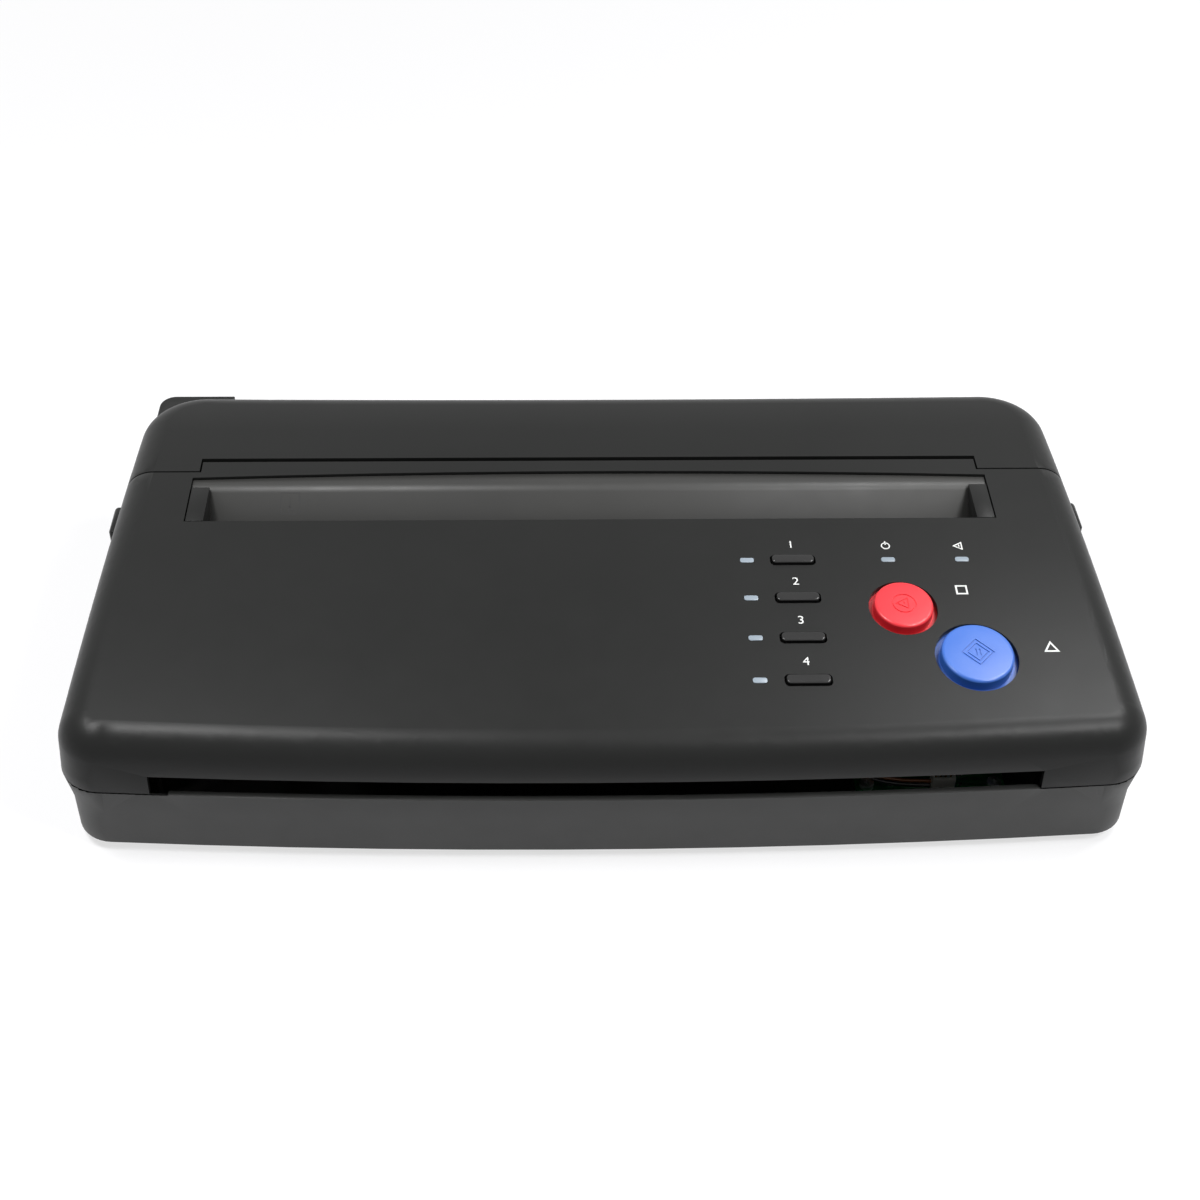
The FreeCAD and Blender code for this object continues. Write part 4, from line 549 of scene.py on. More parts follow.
# %% Edge roundings in millimetres, casings first
roundings = {
    "bottom_casing": 0.3, "rear_cover": 0.3, "front_cover": 0.3, "document_tray": 0.2,
    "paper_guide_left": 0.2, "paper_guide_right": 0.2, "guide_pinion": 0.1, "rubber_feet": 0.3,
    "mode_key_1": 0.15, "mode_key_2": 0.15, "mode_key_3": 0.15, "mode_key_4": 0.15,
    "latch_left": 0.25, "latch_right": 0.25, "indicator_windows": 0.06, "indicator_lamps": 0.05,
    "control_switches": 0.1, "sensor_glass": 0.1, "image_sensor_bar": 0.3, "left_side_frame": 0.15,
    "right_side_frame": 0.15, "roller_bushes": 0.1, "platen_shaft": 0.2, "platen_rubber": 0.3,
    "platen_gear": 0.08, "feed_shaft": 0.2, "feed_tyres": 0.4, "feed_gear": 0.08, "idler_stud": 0.1,
    "idler_gear": 0.08, "motor_shaft": 0.2, "motor_pinion": 0.08, "head_heat_sink": 0.15,
    "head_support_beam": 0.15, "exit_chute": 0.2, "stencil_chute": 0.15, "supply_heat_sink": 0.15,
    "power_inlet": 0.2, "inlet_blades": 0.25, "switch_housing": 0.2, "hinge_pins": 0.2,
}
for node, rounding in roundings.items():
    piece = finish_node(node, rounding)
    print(node, "faces", len(piece.data.polygons))

# %% [markdown]
# ## Smooth light on the large curved top
# The top is one long arc from the front edge to a crest near the back, and a short arc behind it. A
# welded mesh turns that arc into flat strips, and the many holes in it would leave streaks in the
# reflections. The arcs are plain cylinders, so the true direction of the surface is known at every
# corner and can be written into the mesh as custom normals.

# %% Normals of the two top arcs
crest_y = cad_low.y + 179.0 * MM
panel_arc_radius = 1080.0 * MM
rear_arc_radius = 190.0 * MM
arc_tolerance = math.radians(2.2)


def arc_normal(place):
    radius = panel_arc_radius if place.y < crest_y else rear_arc_radius
    lean = (place.y - crest_y) / radius
    return Vector((0.0, lean, math.sqrt(max(0.0, 1.0 - lean * lean))))


def write_arc_normals(piece):
    mesh = piece.data
    normals = [corner.vector.copy() for corner in mesh.corner_normals]
    changed = 0
    for face in mesh.polygons:
        if face.normal.angle(arc_normal(face.center)) > arc_tolerance:
            continue
        for corner in face.loop_indices:
            place = mesh.vertices[mesh.loops[corner].vertex_index].co
            normals[corner] = arc_normal(place)
            changed += 1
    mesh.normals_split_custom_set(normals)
    return changed


for node in ("front_cover", "rear_cover"):
    print(node, "corners set:", write_arc_normals(bpy.data.objects[node + "_finished"]))

# %% [markdown]
# ## Finding places on the part
# Marks, recesses and small parts sit on surfaces that the part already has. A plumb line dropped on a
# node gives the point it meets and the way that the surface faces, so nothing is typed by hand. A
# node that holds several solids, such as a set of screws, is read apart into its solids.

# %% Plumb line, laying on a surface, reading solids
surface_trees = {}


def meet(node, start, way):
    """Where a straight line meets the node, and the way that the surface faces there."""
    if node not in surface_trees:
        mesh = frame["nodes"][node].data
        points = [vertex.co for vertex in mesh.vertices]
        faces = [tuple(face.vertices) for face in mesh.polygons]
        surface_trees[node] = BVHTree.FromPolygons(points, faces)
    place, normal, face, distance = surface_trees[node].ray_cast(start, way)
    return place, normal


def plumb(node, x, y):
    return meet(node, Vector((x, y, 1.0)), Vector((0, 0, -1)))


def lay_on(piece, place, normal, side=Vector((1.0, 0.0, 0.0))):
    """Lays a piece made flat at the origin on the surface, with its own X along the given side."""
    upward = normal.cross(side).normalized()
    turn = Matrix((side, upward, normal)).transposed().to_4x4()
    piece.matrix_world = Matrix.Translation(place) @ turn
    return freeze(piece)


def solids_of(node):
    """The points of each separate solid of a node."""
    mesh = bmesh.new()
    mesh.from_mesh(frame["nodes"][node].data)
    bmesh.ops.remove_doubles(mesh, verts=mesh.verts, dist=weld_distance)
    left = set(mesh.verts)
    solids = []
    for start in mesh.verts:
        if start not in left:
            continue
        left.remove(start)
        edge_of_search = [start]
        points = []
        while edge_of_search:
            point = edge_of_search.pop()
            points.append(point.co.copy())
            for edge in point.link_edges:
                other = edge.other_vert(point)
                if other in left:
                    left.remove(other)
                    edge_of_search.append(other)
        solids.append(points)
    mesh.free()
    return solids


def corners_of(points):
    low = Vector([min(point[axis] for point in points) for axis in range(3)])
    high = Vector([max(point[axis] for point in points) for axis in range(3)])
    return low, high


def middle_of(node):
    low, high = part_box(node)
    return (low + high) / 2


print("screws in the frames:", len(solids_of("frame_screws")))

# %% [markdown]
# ## Cross recesses in the screw heads
# A real screw shows its drive. One plus-shaped cutter is extruded from a small cube, tapered to its
# point, copied to each head, and all copies cut the screws in one boolean.

# %% Screws
recess_reach = 1.5 * MM
recess_half_width = 0.35 * MM
recess_depth = 1.3 * MM
recess_taper = 0.45


def cross_cutter():
    piece = add_block(*box_at(0, 0, recess_half_width, recess_half_width, -recess_depth, recess_depth))
    edit_all(piece)
    pick_faces(piece, lambda centre, normal: abs(normal.z) < 0.5)
    bpy.ops.mesh.extrude_faces_move(
        TRANSFORM_OT_shrink_fatten={"value": recess_reach - recess_half_width})
    pick_faces(piece, lambda centre, normal: normal.z < -0.5)
    bpy.ops.transform.resize(value=(recess_taper, recess_taper, 1.0))
    leave_edit()
    return piece


def head_of(points):
    """The centre of a screw's head face and the way that it faces."""
    low, high = corners_of(points)
    middle = (low + high) / 2
    long_way = max(range(3), key=lambda axis: (high - low)[axis])
    flat = [axis for axis in range(3) if axis != long_way]

    def off_axis(point):
        return math.hypot(*[point[axis] - middle[axis] for axis in flat])

    widest = max(off_axis(point) for point in points)
    rim = [point for point in points if off_axis(point) > 0.97 * widest]
    rim_middle = sum(rim, Vector()) / len(rim)
    facing = Vector((0.0, 0.0, 0.0))
    facing[long_way] = 1.0 if rim_middle[long_way] > middle[long_way] else -1.0
    place = middle.copy()
    place[long_way] = high[long_way] if facing[long_way] > 0 else low[long_way]
    return place, facing


def cut_recesses(node):
    cutters = []
    for points in solids_of(node):
        place, facing = head_of(points)
        cutter = cross_cutter()
        stand_on(cutter, place, facing)
        cutters.append(cutter)
    piece = finished_copy(node)
    round_edges(piece, 0.25 * MM)
    cut(piece, join(*cutters))
    smooth(piece)
    settle(piece, node + "_finished", finish_of[node], home_of[node], node)
    print(node, "recesses:", len(cutters), "faces:", len(piece.data.polygons))


for node in ("casing_screws", "frame_screws", "cover_screws"):
    cut_recesses(node)

# %% [markdown]
# ## Outlines for marks
# Engraved and printed marks are the same thing here: the outline of a regular polygon with a line of
# even width. A flat polygon is inset by the line's width, its middle is deleted and the band that is
# left is extruded to a solid. In a key it is a cutter, and on the panel it is a film of ink.

# %% Bands and bars
def outline(piece, line, height):
    """Turns a flat face into a band of even width and gives the band its height."""
    freeze(piece)
    edit_all(piece)
    bpy.ops.mesh.inset(thickness=line)
    bpy.ops.mesh.delete(type="FACE")
    bpy.ops.mesh.select_all(action="SELECT")
    bpy.ops.mesh.extrude_region_move(TRANSFORM_OT_translate={"value": (0, 0, height)})
    bpy.ops.mesh.select_all(action="SELECT")
    bpy.ops.mesh.normals_make_consistent(inside=False)
    leave_edit()
    return piece


def polygon_band(sides, radius, line, turn, low, high):
    bpy.ops.mesh.primitive_circle_add(vertices=sides, radius=radius, fill_type="NGON",
                                      location=(0, 0, low), rotation=(0, 0, turn))
    return outline(bpy.context.object, line, high - low)


def bar(width, length, x, y, low, high):
    return add_block(*box_at(x, y, width / 2, length / 2, low, high))


# %% [markdown]
# ## The two round keys
# The red key carries a ring around a triangle, and the blue key a diamond in a diamond with a double
# bar. Both are engraved a third of a millimetre deep, so the marks are cut into the caps themselves.

# %% Engraved caps
engraving = 0.35 * MM
above_cap = 1.0 * MM
stroke = 0.55 * MM


def stop_mark():
    ring = polygon_band(48, 4.9 * MM, stroke, 0.0, -engraving, above_cap)
    triangle = polygon_band(3, 3.5 * MM, stroke, math.radians(90), -engraving, above_cap)
    return [ring, triangle, bar(stroke, 1.5 * MM, 0, 0.1 * MM, -engraving, above_cap)]


def copy_mark():
    outer = polygon_band(4, 6.6 * MM, stroke, 0.0, -engraving, above_cap)
    inner = polygon_band(4, 4.6 * MM, stroke, 0.0, -engraving, above_cap)
    left_bar = bar(stroke, 3.2 * MM, -0.75 * MM, 0, -engraving, above_cap)
    right_bar = bar(stroke, 3.2 * MM, 0.75 * MM, 0, -engraving, above_cap)
    return [outer, inner, left_bar, right_bar]


def engrave_key(node, cutters):
    place, normal = plumb(node, middle_of(node).x, cap_middle_y(node))
    piece = finished_copy(node)
    for cutter in cutters:
        cut(piece, lay_on(cutter, place, normal))
    smooth(piece, math.radians(28))
    settle(piece, node + "_engraved", finish_of[node], home_of[node], node)
    print(piece.name, "faces:", len(piece.data.polygons))


def cap_middle_y(node):
    """Y of the middle of a tilted cap's top face."""
    points = [vertex.co for vertex in frame["nodes"][node].data.vertices]
    tops = [point.y for point in points if point.z > arc_height(point.y) + 1.0 * MM]
    return (min(tops) + max(tops)) / 2


def arc_height(y):
    """Height of the front arc of the top at a distance from the front."""
    return cad_high.z - panel_arc_radius + math.sqrt(panel_arc_radius ** 2 - (crest_y - y) ** 2)


engrave_key("stop_button", stop_mark())
engrave_key("copy_button", copy_mark())

# %% [markdown]
# ## Printed marks
# Beside the keys and lights the panel has small white marks. Plain numbers count the four mode keys,
# and simple signs stand by the other lights and keys. Each is a film of ink laid on the curved top.

# %% Numbers and signs on the panel
ink_low = -0.01 * MM
ink_high = 0.03 * MM
sign_line = 0.5 * MM
bold_line = 0.7 * MM
number_height = 4.0 * MM
capital_share = 0.7


def print_mark(name, pieces, x, y):
    place, normal = plumb("front_cover", x, y)
    whole = join(*pieces)
    lay_on(whole, place, normal)
    return settle(whole, name, "white", "front_cover_unit")


def number(text, height):
    bpy.ops.object.select_all(action="DESELECT")
    bpy.ops.object.text_add(radius=height / capital_share)
    piece = bpy.context.object
    piece.data.body = text
    piece.data.align_x = "CENTER"
    piece.data.align_y = "CENTER"
    piece.data.extrude = (ink_high - ink_low) / 2
    piece.location = (0, 0, (ink_high + ink_low) / 2)
    bpy.ops.object.convert(target="MESH")
    edit_all(piece)
    bpy.ops.mesh.remove_doubles(threshold=weld_distance)
    leave_edit()
    freeze(piece)
    return dressed(piece, "ink")


def ink_band(sides, radius, line, turn=0.0):
    return dressed(polygon_band(sides, radius, line, turn, ink_low, ink_high), "ink")


def ink_bar(length, y):
    return dressed(bar(sign_line, length, 0, y, ink_low, ink_high), "ink")


for count in (1, 2, 3, 4):
    key = middle_of("mode_key_" + str(count))
    print_mark("number_" + str(count), [number(str(count), number_height)], key.x, key.y + 8.4 * MM)

windows = [corners_of(points) for points in solids_of("indicator_windows")]
middles = sorted([(low + high) / 2 for low, high in windows], key=lambda spot: spot.x)
power_light, fault_light = middles[-2:]
power_sign = [ink_band(32, 1.9 * MM, sign_line), ink_bar(2.0 * MM, 1.6 * MM)]
print_mark("power_sign", power_sign, power_light.x, power_light.y + 7.6 * MM)
fault_sign = [ink_band(3, 2.7 * MM, sign_line, math.radians(90)), ink_bar(1.2 * MM, 0.1 * MM)]
print_mark("fault_sign", fault_sign, fault_light.x, fault_light.y + 7.4 * MM)
stop_key = middle_of("stop_button")
copy_key = middle_of("copy_button")
stop_sign = [ink_band(4, 3.4 * MM, bold_line, math.radians(45))]
print_mark("stop_sign", stop_sign, stop_key.x + 25.0 * MM, stop_key.y + 9.0 * MM)
copy_sign = [ink_band(3, 3.6 * MM, bold_line)]
print_mark("copy_sign", copy_sign, copy_key.x + 30.0 * MM, copy_key.y + 3.6 * MM)
print("marks printed: 8")

# %% [markdown]
# ## The sign in the paper recess
# The slope of the recess shows how a sheet goes in. A plain outline of a sheet with an arrow is
# printed there in dark ink, where the slope can be seen over the recess's front edge.

# %% Sheet and arrow
plastic("ink_dark", (0.010, 0.010, 0.010), (0.014, 0.014, 0.014), 0.4, 0.5, 1500.0, 0.000004)


def sheet_outline(width, length, line):
    bpy.ops.mesh.primitive_plane_add(size=1.0, location=(0, 0, ink_low))
    piece = bpy.context.object
    piece.scale = (width, length, 1.0)
    return outline(piece, line, ink_high - ink_low)


def sheet_sign():
    line = 0.45 * MM
    sheet = sheet_outline(8.4 * MM, 9.6 * MM, line)
    stem = bar(line, 4.4 * MM, 0, 0.6 * MM, ink_low, ink_high)
    head = polygon_band(3, 1.8 * MM, line, math.radians(-90), ink_low, ink_high)
    head.location = (0, -2.2 * MM, 0)
    freeze(head)
    return join(*[dressed(piece, "ink_dark") for piece in (sheet, stem, head)])


place, normal = plumb("document_tray", -131.5 * MM, cad_low.y + 137.0 * MM)
settle(lay_on(sheet_sign(), place, normal), "sheet_sign", "key_black", "front_cover_unit")
print("sheet sign at", [round(value * 1000, 1) for value in place])

# %% [markdown]
# ## Wound springs
# Four little compression springs push the latches out and the print head forward. In the part they
# are plain tubes. Here each is a wire: a small circle is set out from the axis and swept by the Screw
# modifier, and the two open ends are filled.

# %% Springs
def wound_spring(radius, wire, length, turns):
    """A spring that starts at the origin and runs along +Z."""
    bpy.ops.mesh.primitive_circle_add(vertices=10, radius=wire, fill_type="NOTHING",
                                      location=(radius - wire, 0, wire),
                                      rotation=(math.radians(90), 0, 0))
    piece = freeze(bpy.context.object)
    apply_modifier(piece, "SCREW", axis="Z", angle=2 * math.pi * turns,
                   screw_offset=length - 2 * wire, steps=int(20 * turns), render_steps=int(20 * turns))
    edit_all(piece)
    bpy.ops.mesh.remove_doubles(threshold=weld_distance)
    bpy.ops.mesh.fill_holes(sides=0)
    bpy.ops.mesh.select_all(action="SELECT")
    bpy.ops.mesh.normals_make_consistent(inside=False)
    leave_edit()
    return piece


def stand_spring(piece, place, way):
    stand_on(piece, place, way)
    smooth(piece, math.radians(60))
    return piece


def latch_spring(side, sign):
    node = "latch_spring_" + side
    low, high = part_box(node)
    radius = (high.z - low.z) / 2
    length = high.x - low.x
    seat_x = low.x if sign > 0 else high.x
    seat = Vector((seat_x, (low.y + high.y) / 2, (low.z + high.z) / 2))
    piece = wound_spring(radius, 0.3 * MM, length, 6.0)
    stand_spring(piece, seat, Vector((sign, 0, 0)))
    settle(piece, node + "_wound", "spring_steel", "front_cover_unit", node)
    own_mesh(piece)
    return piece


latch_spring("left", -1.0)
latch_spring("right", 1.0)

head_coils = []
for points in solids_of("head_springs"):
    low, high = corners_of(points)
    seat = Vector(((low.x + high.x) / 2, low.y, (low.z + high.z) / 2))
    coil = wound_spring((high.z - low.z) / 2, 0.4 * MM, high.y - low.y, 5.0)
    head_coils.append(stand_spring(coil, seat, Vector((0, 1, 0))))
settle(join(*head_coils), "head_springs_wound", "spring_steel", "base", "head_springs")
print("springs wound:", 2 + len(head_coils))

# %% [markdown]
# ## Capacitors
# Two cans stand on the supply board. Each wears a printed sleeve that leaves the metal top bare, with
# a scored cross that lets pressure out and a pale stripe that marks the negative leg. A cylinder is
# rounded, its top face is inset and pushed down, and two turned blocks cut the cross.

# %% Electrolytic cans
sleeve_lap = 0.9 * MM
top_sunk = 0.4 * MM


def build_can(low, high):
    middle = (low + high) / 2
    radius = (high.x - low.x) / 2
    sleeve = add_rod(radius, (middle.x, middle.y, low.z), (middle.x, middle.y, high.z), 48)
    round_edges(sleeve, 0.7 * MM, 3)
    for finish in ("can", "aluminium", "ink"):
        dressed(sleeve, finish)
    edit_all(sleeve)
    pick_faces(sleeve, lambda centre, normal: normal.z > 0.98)
    bpy.ops.mesh.inset(thickness=sleeve_lap)
    bpy.ops.mesh.extrude_region_move(TRANSFORM_OT_translate={"value": (0, 0, -top_sunk)})
    leave_edit()
    for face in sleeve.data.polygons:
        side = Vector((face.center.x - middle.x, face.center.y - middle.y, 0.0))
        if face.center.z > high.z - 0.5 * MM and side.length < radius - sleeve_lap:
            face.material_index = 1
        elif side.y < -0.93 * side.length and abs(face.normal.z) < 0.2:
            face.material_index = 2
    for turn in (45, 135):
        cutter = add_block(*box_at(0, 0, radius * 0.7, 0.25 * MM, -0.3 * MM, 1 * MM))
        cutter.rotation_euler.z = math.radians(turn)
        cutter.location = (middle.x, middle.y, high.z - top_sunk)
        cut(sleeve, freeze(cutter))
    smooth(sleeve)
    return sleeve


for number_of_can, points in enumerate(solids_of("capacitors"), start=1):
    low, high = corners_of(points)
    can = settle(build_can(low, high), "capacitor_" + str(number_of_can), "can", "base")
    if number_of_can == 1:
        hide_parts("capacitors")
    print(can.name, "faces:", len(can.data.polygons))

# %% [markdown]
# ## Transformer
# A small mains transformer is a stack of steel sheets around a coil that is wound on a black bobbin
# and wrapped in yellow tape. The core's block is bisected into sheets, the coil is a block rounded
# until its corners are those of wound wire, and ten pins hold the bobbin on the board.

# %% Core, coil and bobbin
core_half = 5.0 * MM
sheets = 8
coil_half_width = 11.5 * MM
bobbin_half_width = 13.5 * MM
bobbin_foot = 5.0 * MM
flange_thickness = 1.2 * MM
pin_pitch = 5.0 * MM


def build_transformer():
    low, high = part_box("transformer")
    middle = (low + high) / 2
    core = add_block((low.x, middle.y - core_half, low.z), (high.x, middle.y + core_half, high.z))
    edit_all(core)
    for step in range(1, sheets):
        joint_y = middle.y - core_half + step * 2 * core_half / sheets
        bpy.ops.mesh.select_all(action="SELECT")
        bpy.ops.mesh.bisect(plane_co=(0, joint_y, 0), plane_no=(0, 1, 0))
    leave_edit()
    round_edges(core, 0.3 * MM)
    settle(core, "transformer_core", "steel", "base")
    coil = add_block((middle.x - coil_half_width, low.y + 0.6 * MM, low.z + bobbin_foot),
                     (middle.x + coil_half_width, high.y - 0.6 * MM, high.z - 3.0 * MM))
    round_edges(coil, 4.0 * MM, 5)
    smooth(coil, math.radians(40))
    settle(coil, "transformer_coil", "yellow", "base")
    flanges = []
    for y in (low.y, high.y - flange_thickness):
        flanges.append(add_block((middle.x - bobbin_half_width, y, low.z + bobbin_foot),
                                 (middle.x + bobbin_half_width, y + flange_thickness, high.z - 1.0 * MM)))
    pins = []
    for index in range(5):
        for y in (low.y + 1.5 * MM, high.y - 1.5 * MM):
            x = middle.x + (index - 2) * pin_pitch
            pins.append(add_rod(0.4 * MM, (x, y, low.z), (x, y, low.z + 6.0 * MM), 10))
    bobbin = join(*flanges)
    round_edges(bobbin, 0.3 * MM)
    settle(bobbin, "transformer_bobbin", "lead_black", "base", "transformer")
    settle(join(*pins), "transformer_pins", "bright_steel", "base")


build_transformer()
print("transformer: core, coil, bobbin and ten pins")

# %% [markdown]
# ## Stepper motor
# Black end bells hold a stack of bare laminations, and four screws go through the bells. The copy of
# the solid is bisected where the bells end, so that the middle can have the metal's finish.

# %% Motor and its screws
collar = 1.6 * MM
bell = 8.0 * MM
screw_offset = 10.5 * MM


def build_motor():
    node = "stepper_motor"
    piece = finished_copy(node)
    low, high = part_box(node)
    edit_all(piece)
    for x in (low.x + collar + bell, high.x - bell):
        bpy.ops.mesh.select_all(action="SELECT")
        bpy.ops.mesh.bisect(plane_co=(x, 0, 0), plane_no=(1, 0, 0))
    leave_edit()
    dressed(piece, "motor")
    dressed(piece, "steel")
    for face in piece.data.polygons:
        between = low.x + collar + bell < face.center.x < high.x - bell
        if between and abs(face.normal.x) < 0.5:
            face.material_index = 1
    round_edges(piece, 0.2 * MM)
    smooth(piece)
    settle(piece, node + "_finished", "motor", "base", node)
    screws = []
    for side_y in (-1, 1):
        for side_z in (-1, 1):
            y = (low.y + high.y) / 2 + side_y * screw_offset
            z = (low.z + high.z) / 2 + side_z * screw_offset
            head = add_rod(1.9 * MM, (high.x - 0.2 * MM, y, z), (high.x + 0.9 * MM, y, z), 20)
            round_edges(head, 0.3 * MM)
            screws.append(head)
    settle(join(*screws), "motor_screws", "steel", "base")


build_motor()
print("motor finished")

# %% [markdown]
# ## Boards and what is soldered on them
# Each board keeps its exact outline and holes, and gets parts of its own. The smallest are chips with
# rows of legs, and resistors with bright ends. A few helpers lay out such rows by loops, because rows
# that are typed out by hand drift.

# %% Small parts
leg_row_share = 0.82
leg_reach = 1.0 * MM


def chip(x, y, base_z, side, tall, legs_per_side, name, body):
    case = soft_block(*box_at(x, y, side / 2, side / 2, base_z + 0.1 * MM, base_z + tall), 0.25 * MM)
    settle(dressed(case, "chip"), name, "lead_black", body)
    legs = []
    pitch = side * leg_row_share / (legs_per_side - 1)
    for turn in range(4):
        way = Vector((math.cos(turn * math.pi / 2), math.sin(turn * math.pi / 2)))
        across = Vector((-way.y, way.x))
        for index in range(legs_per_side):
            along = (index - (legs_per_side - 1) / 2) * pitch
            centre = Vector((x, y)) + way * (side / 2 + leg_reach / 2) + across * along
            half = Vector((abs(way.x) * leg_reach / 2 + abs(across.x) * 0.2 * MM,
                           abs(way.y) * leg_reach / 2 + abs(across.y) * 0.2 * MM))
            legs.append(box_at(*centre, *half, base_z, base_z + 0.45 * MM))
    return settle(many_blocks(legs), name + "_legs", "bright_steel", body)


def many_blocks(corners):
    """One mesh of many small boxes, for legs and pins that are too many to add one by one."""
    mesh = bpy.data.meshes.new("boxes")
    build = bmesh.new()
    for low, high in corners:
        low = Vector(low)
        high = Vector(high)
        place = Matrix.Translation((low + high) / 2) @ Matrix.Diagonal((*(high - low), 1.0))
        bmesh.ops.create_cube(build, size=1.0, matrix=place)
    build.to_mesh(mesh)
    build.free()
    return new_object("boxes", mesh)


def resistor_row(name, x, y, base_z, count, pitch, body):
    cases = []
    ends = []
    for index in range(count):
        left = x + index * pitch
        cases.append(box_at(left, y, 0.5 * MM, 0.45 * MM, base_z, base_z + 0.5 * MM))
        for end in (left - 0.7 * MM, left + 0.7 * MM):
            ends.append(box_at(end, y, 0.2 * MM, 0.45 * MM, base_z, base_z + 0.55 * MM))
    settle(dressed(many_blocks(cases), "chip"), name, "lead_black", body)
    settle(many_blocks(ends), name + "_ends", "bright_steel", body)


# %% [markdown]
# ## Main board
# The two large chips are part of the board's solid. Their faces get the chip's finish, and a slightly
# taller case with legs is set over each. Three rows of resistors and a rounded crystal can fill the
# rest of the board.

# %% Main board with its chips
board_thickness = 1.6 * MM
chip_places = ((0.3, 0.5), (0.62, 0.42))
row_places = (0.14, 0.8, 0.9)


def build_main_board():
    node = "main_board"
    low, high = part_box(node)
    top = low.z + board_thickness
    piece = finished_copy(node)
    dressed(piece, "board")
    dressed(piece, "chip")
    for face in piece.data.polygons:
        if face.center.z > top + 0.1 * MM:
            face.material_index = 1
    round_edges(piece, 0.12 * MM)
    smooth(piece)
    settle(piece, node + "_finished", "board", "base", node)
    width = high.x - low.x
    length = high.y - low.y
    for index, (share_x, share_y) in enumerate(chip_places, start=1):
        x = low.x + share_x * width
        y = low.y + share_y * length
        chip(x, y, top, 12.0 * MM, 1.85 * MM, 10, "main_chip_" + str(index), "base")
    for index, share in enumerate(row_places, start=1):
        resistor_row("main_resistors_" + str(index), low.x + 14 * MM, low.y + share * length, top, 9,
                     3.4 * MM, "base")
    crystal_low = Vector((low.x + 46 * MM, low.y + 20 * MM, top))
    crystal = soft_block(crystal_low, crystal_low + Vector((4, 10, 3.2)) * MM, 1.2 * MM, 4)
    settle(crystal, "crystal", "bright_steel", "base")


build_main_board()
print("main board: chips", len(chip_places), "rows of resistors", len(row_places))

# %% [markdown]
# ## Plugs
# A plug is an open box with pins inside. The top face of each box is inset by the wall and pushed
# down, and a row of brass pins stands in the mouth.

# %% Plugs with open mouths
plug_wall = 0.9 * MM
mouth_depth = 4.0 * MM


def build_connectors():
    node = "board_connectors"
    piece = finished_copy(node)
    edit_all(piece)
    pick_faces(piece, lambda centre, normal: normal.z > 0.9)
    bpy.ops.mesh.inset(thickness=plug_wall, use_individual=True)
    bpy.ops.mesh.extrude_region_move(TRANSFORM_OT_translate={"value": (0, 0, -mouth_depth)})
    leave_edit()
    round_edges(piece, 0.15 * MM)
    smooth(piece)
    settle(piece, node + "_finished", "white", "base", node)
    pins = []
    for points in solids_of(node):
        low, high = corners_of(points)
        count = int((high.x - low.x) / (2.2 * MM))
        for index in range(count):
            x = (low.x + high.x) / 2 + (index - (count - 1) / 2) * 2.0 * MM
            y = (low.y + high.y) / 2
            pins.append(box_at(x, y, 0.3 * MM, 0.3 * MM, high.z - 5 * MM, high.z - 0.8 * MM))
    settle(many_blocks(pins), "connector_pins", "brass", "base")
    print("plugs:", len(solids_of(node)), "pins:", len(pins))


build_connectors()

# %% [markdown]
# ## Supply board
# Mains parts are larger and stand apart: a glass fuse with brass caps in two spring clips, a yellow
# film capacitor, and a transistor that is pressed to the heat sink and has three legs.

# %% Supply board, control board and their parts
for node in ("power_supply_board", "control_board"):
    finish_node(node, 0.12)

fuse_radius = 2.5 * MM
fuse_length = 20.0 * MM
cap_length = 5.0 * MM


def build_fuse(low, top):
    x = low.x + 6.0 * MM
    fuse_low = low.y + 52 * MM
    fuse_high = fuse_low + fuse_length
    z = top + 4.0 * MM
    tube = add_rod(fuse_radius, (x, fuse_low, z), (x, fuse_high, z), 24)
    settle(tube, "fuse_glass", "glass", "base")
    caps = []
    clips = []
    for y_low, y_high in ((fuse_low - 0.3 * MM, fuse_low + cap_length),
                          (fuse_high - cap_length, fuse_high + 0.3 * MM)):
        caps.append(add_rod(2.7 * MM, (x, y_low, z), (x, y_high, z), 24))
        for inner, outer in ((x - 3.2 * MM, x - 2.6 * MM), (x + 2.6 * MM, x + 3.2 * MM)):
            clips.append(((inner, y_low + 1 * MM, top), (outer, y_high - 1 * MM, z + 1.5 * MM)))
    caps_piece = join(*caps)
    round_edges(caps_piece, 0.3 * MM)
    smooth(caps_piece)
    settle(caps_piece, "fuse_caps", "brass", "base")
    settle(many_blocks(clips), "fuse_clips", "spring_steel", "base")


def build_film_capacitor(low, high):
    film_low = Vector((high.x - 14 * MM, low.y + 74 * MM, high.z))
    film = soft_block(film_low, film_low + Vector((9, 16, 12)) * MM, 0.8 * MM, 3)
    settle(film, "film_capacitor", "yellow", "base")


def build_transistor(top):
    sink_low, sink_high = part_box("supply_heat_sink")
    middle_y = (sink_low.y + sink_high.y) / 2
    transistor = soft_block((sink_high.x, middle_y - 5 * MM, top + 5 * MM),
                            (sink_high.x + 4.4 * MM, middle_y + 5 * MM, top + 20 * MM), 0.4 * MM)
    settle(dressed(transistor, "chip"), "transistor", "lead_black", "base")
    legs = []
    for index in (-1, 0, 1):
        y = middle_y + index * 2.5 * MM
        legs.append(((sink_high.x + 2.0 * MM, y - 0.4 * MM, top),
                     (sink_high.x + 2.6 * MM, y + 0.4 * MM, top + 5 * MM)))
    settle(many_blocks(legs), "transistor_legs", "bright_steel", "base")


supply_low, supply_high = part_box("power_supply_board")
build_fuse(supply_low, supply_high.z)
build_film_capacitor(supply_low, supply_high)
build_transistor(supply_high.z)
print("supply parts: fuse, film capacitor, transistor")

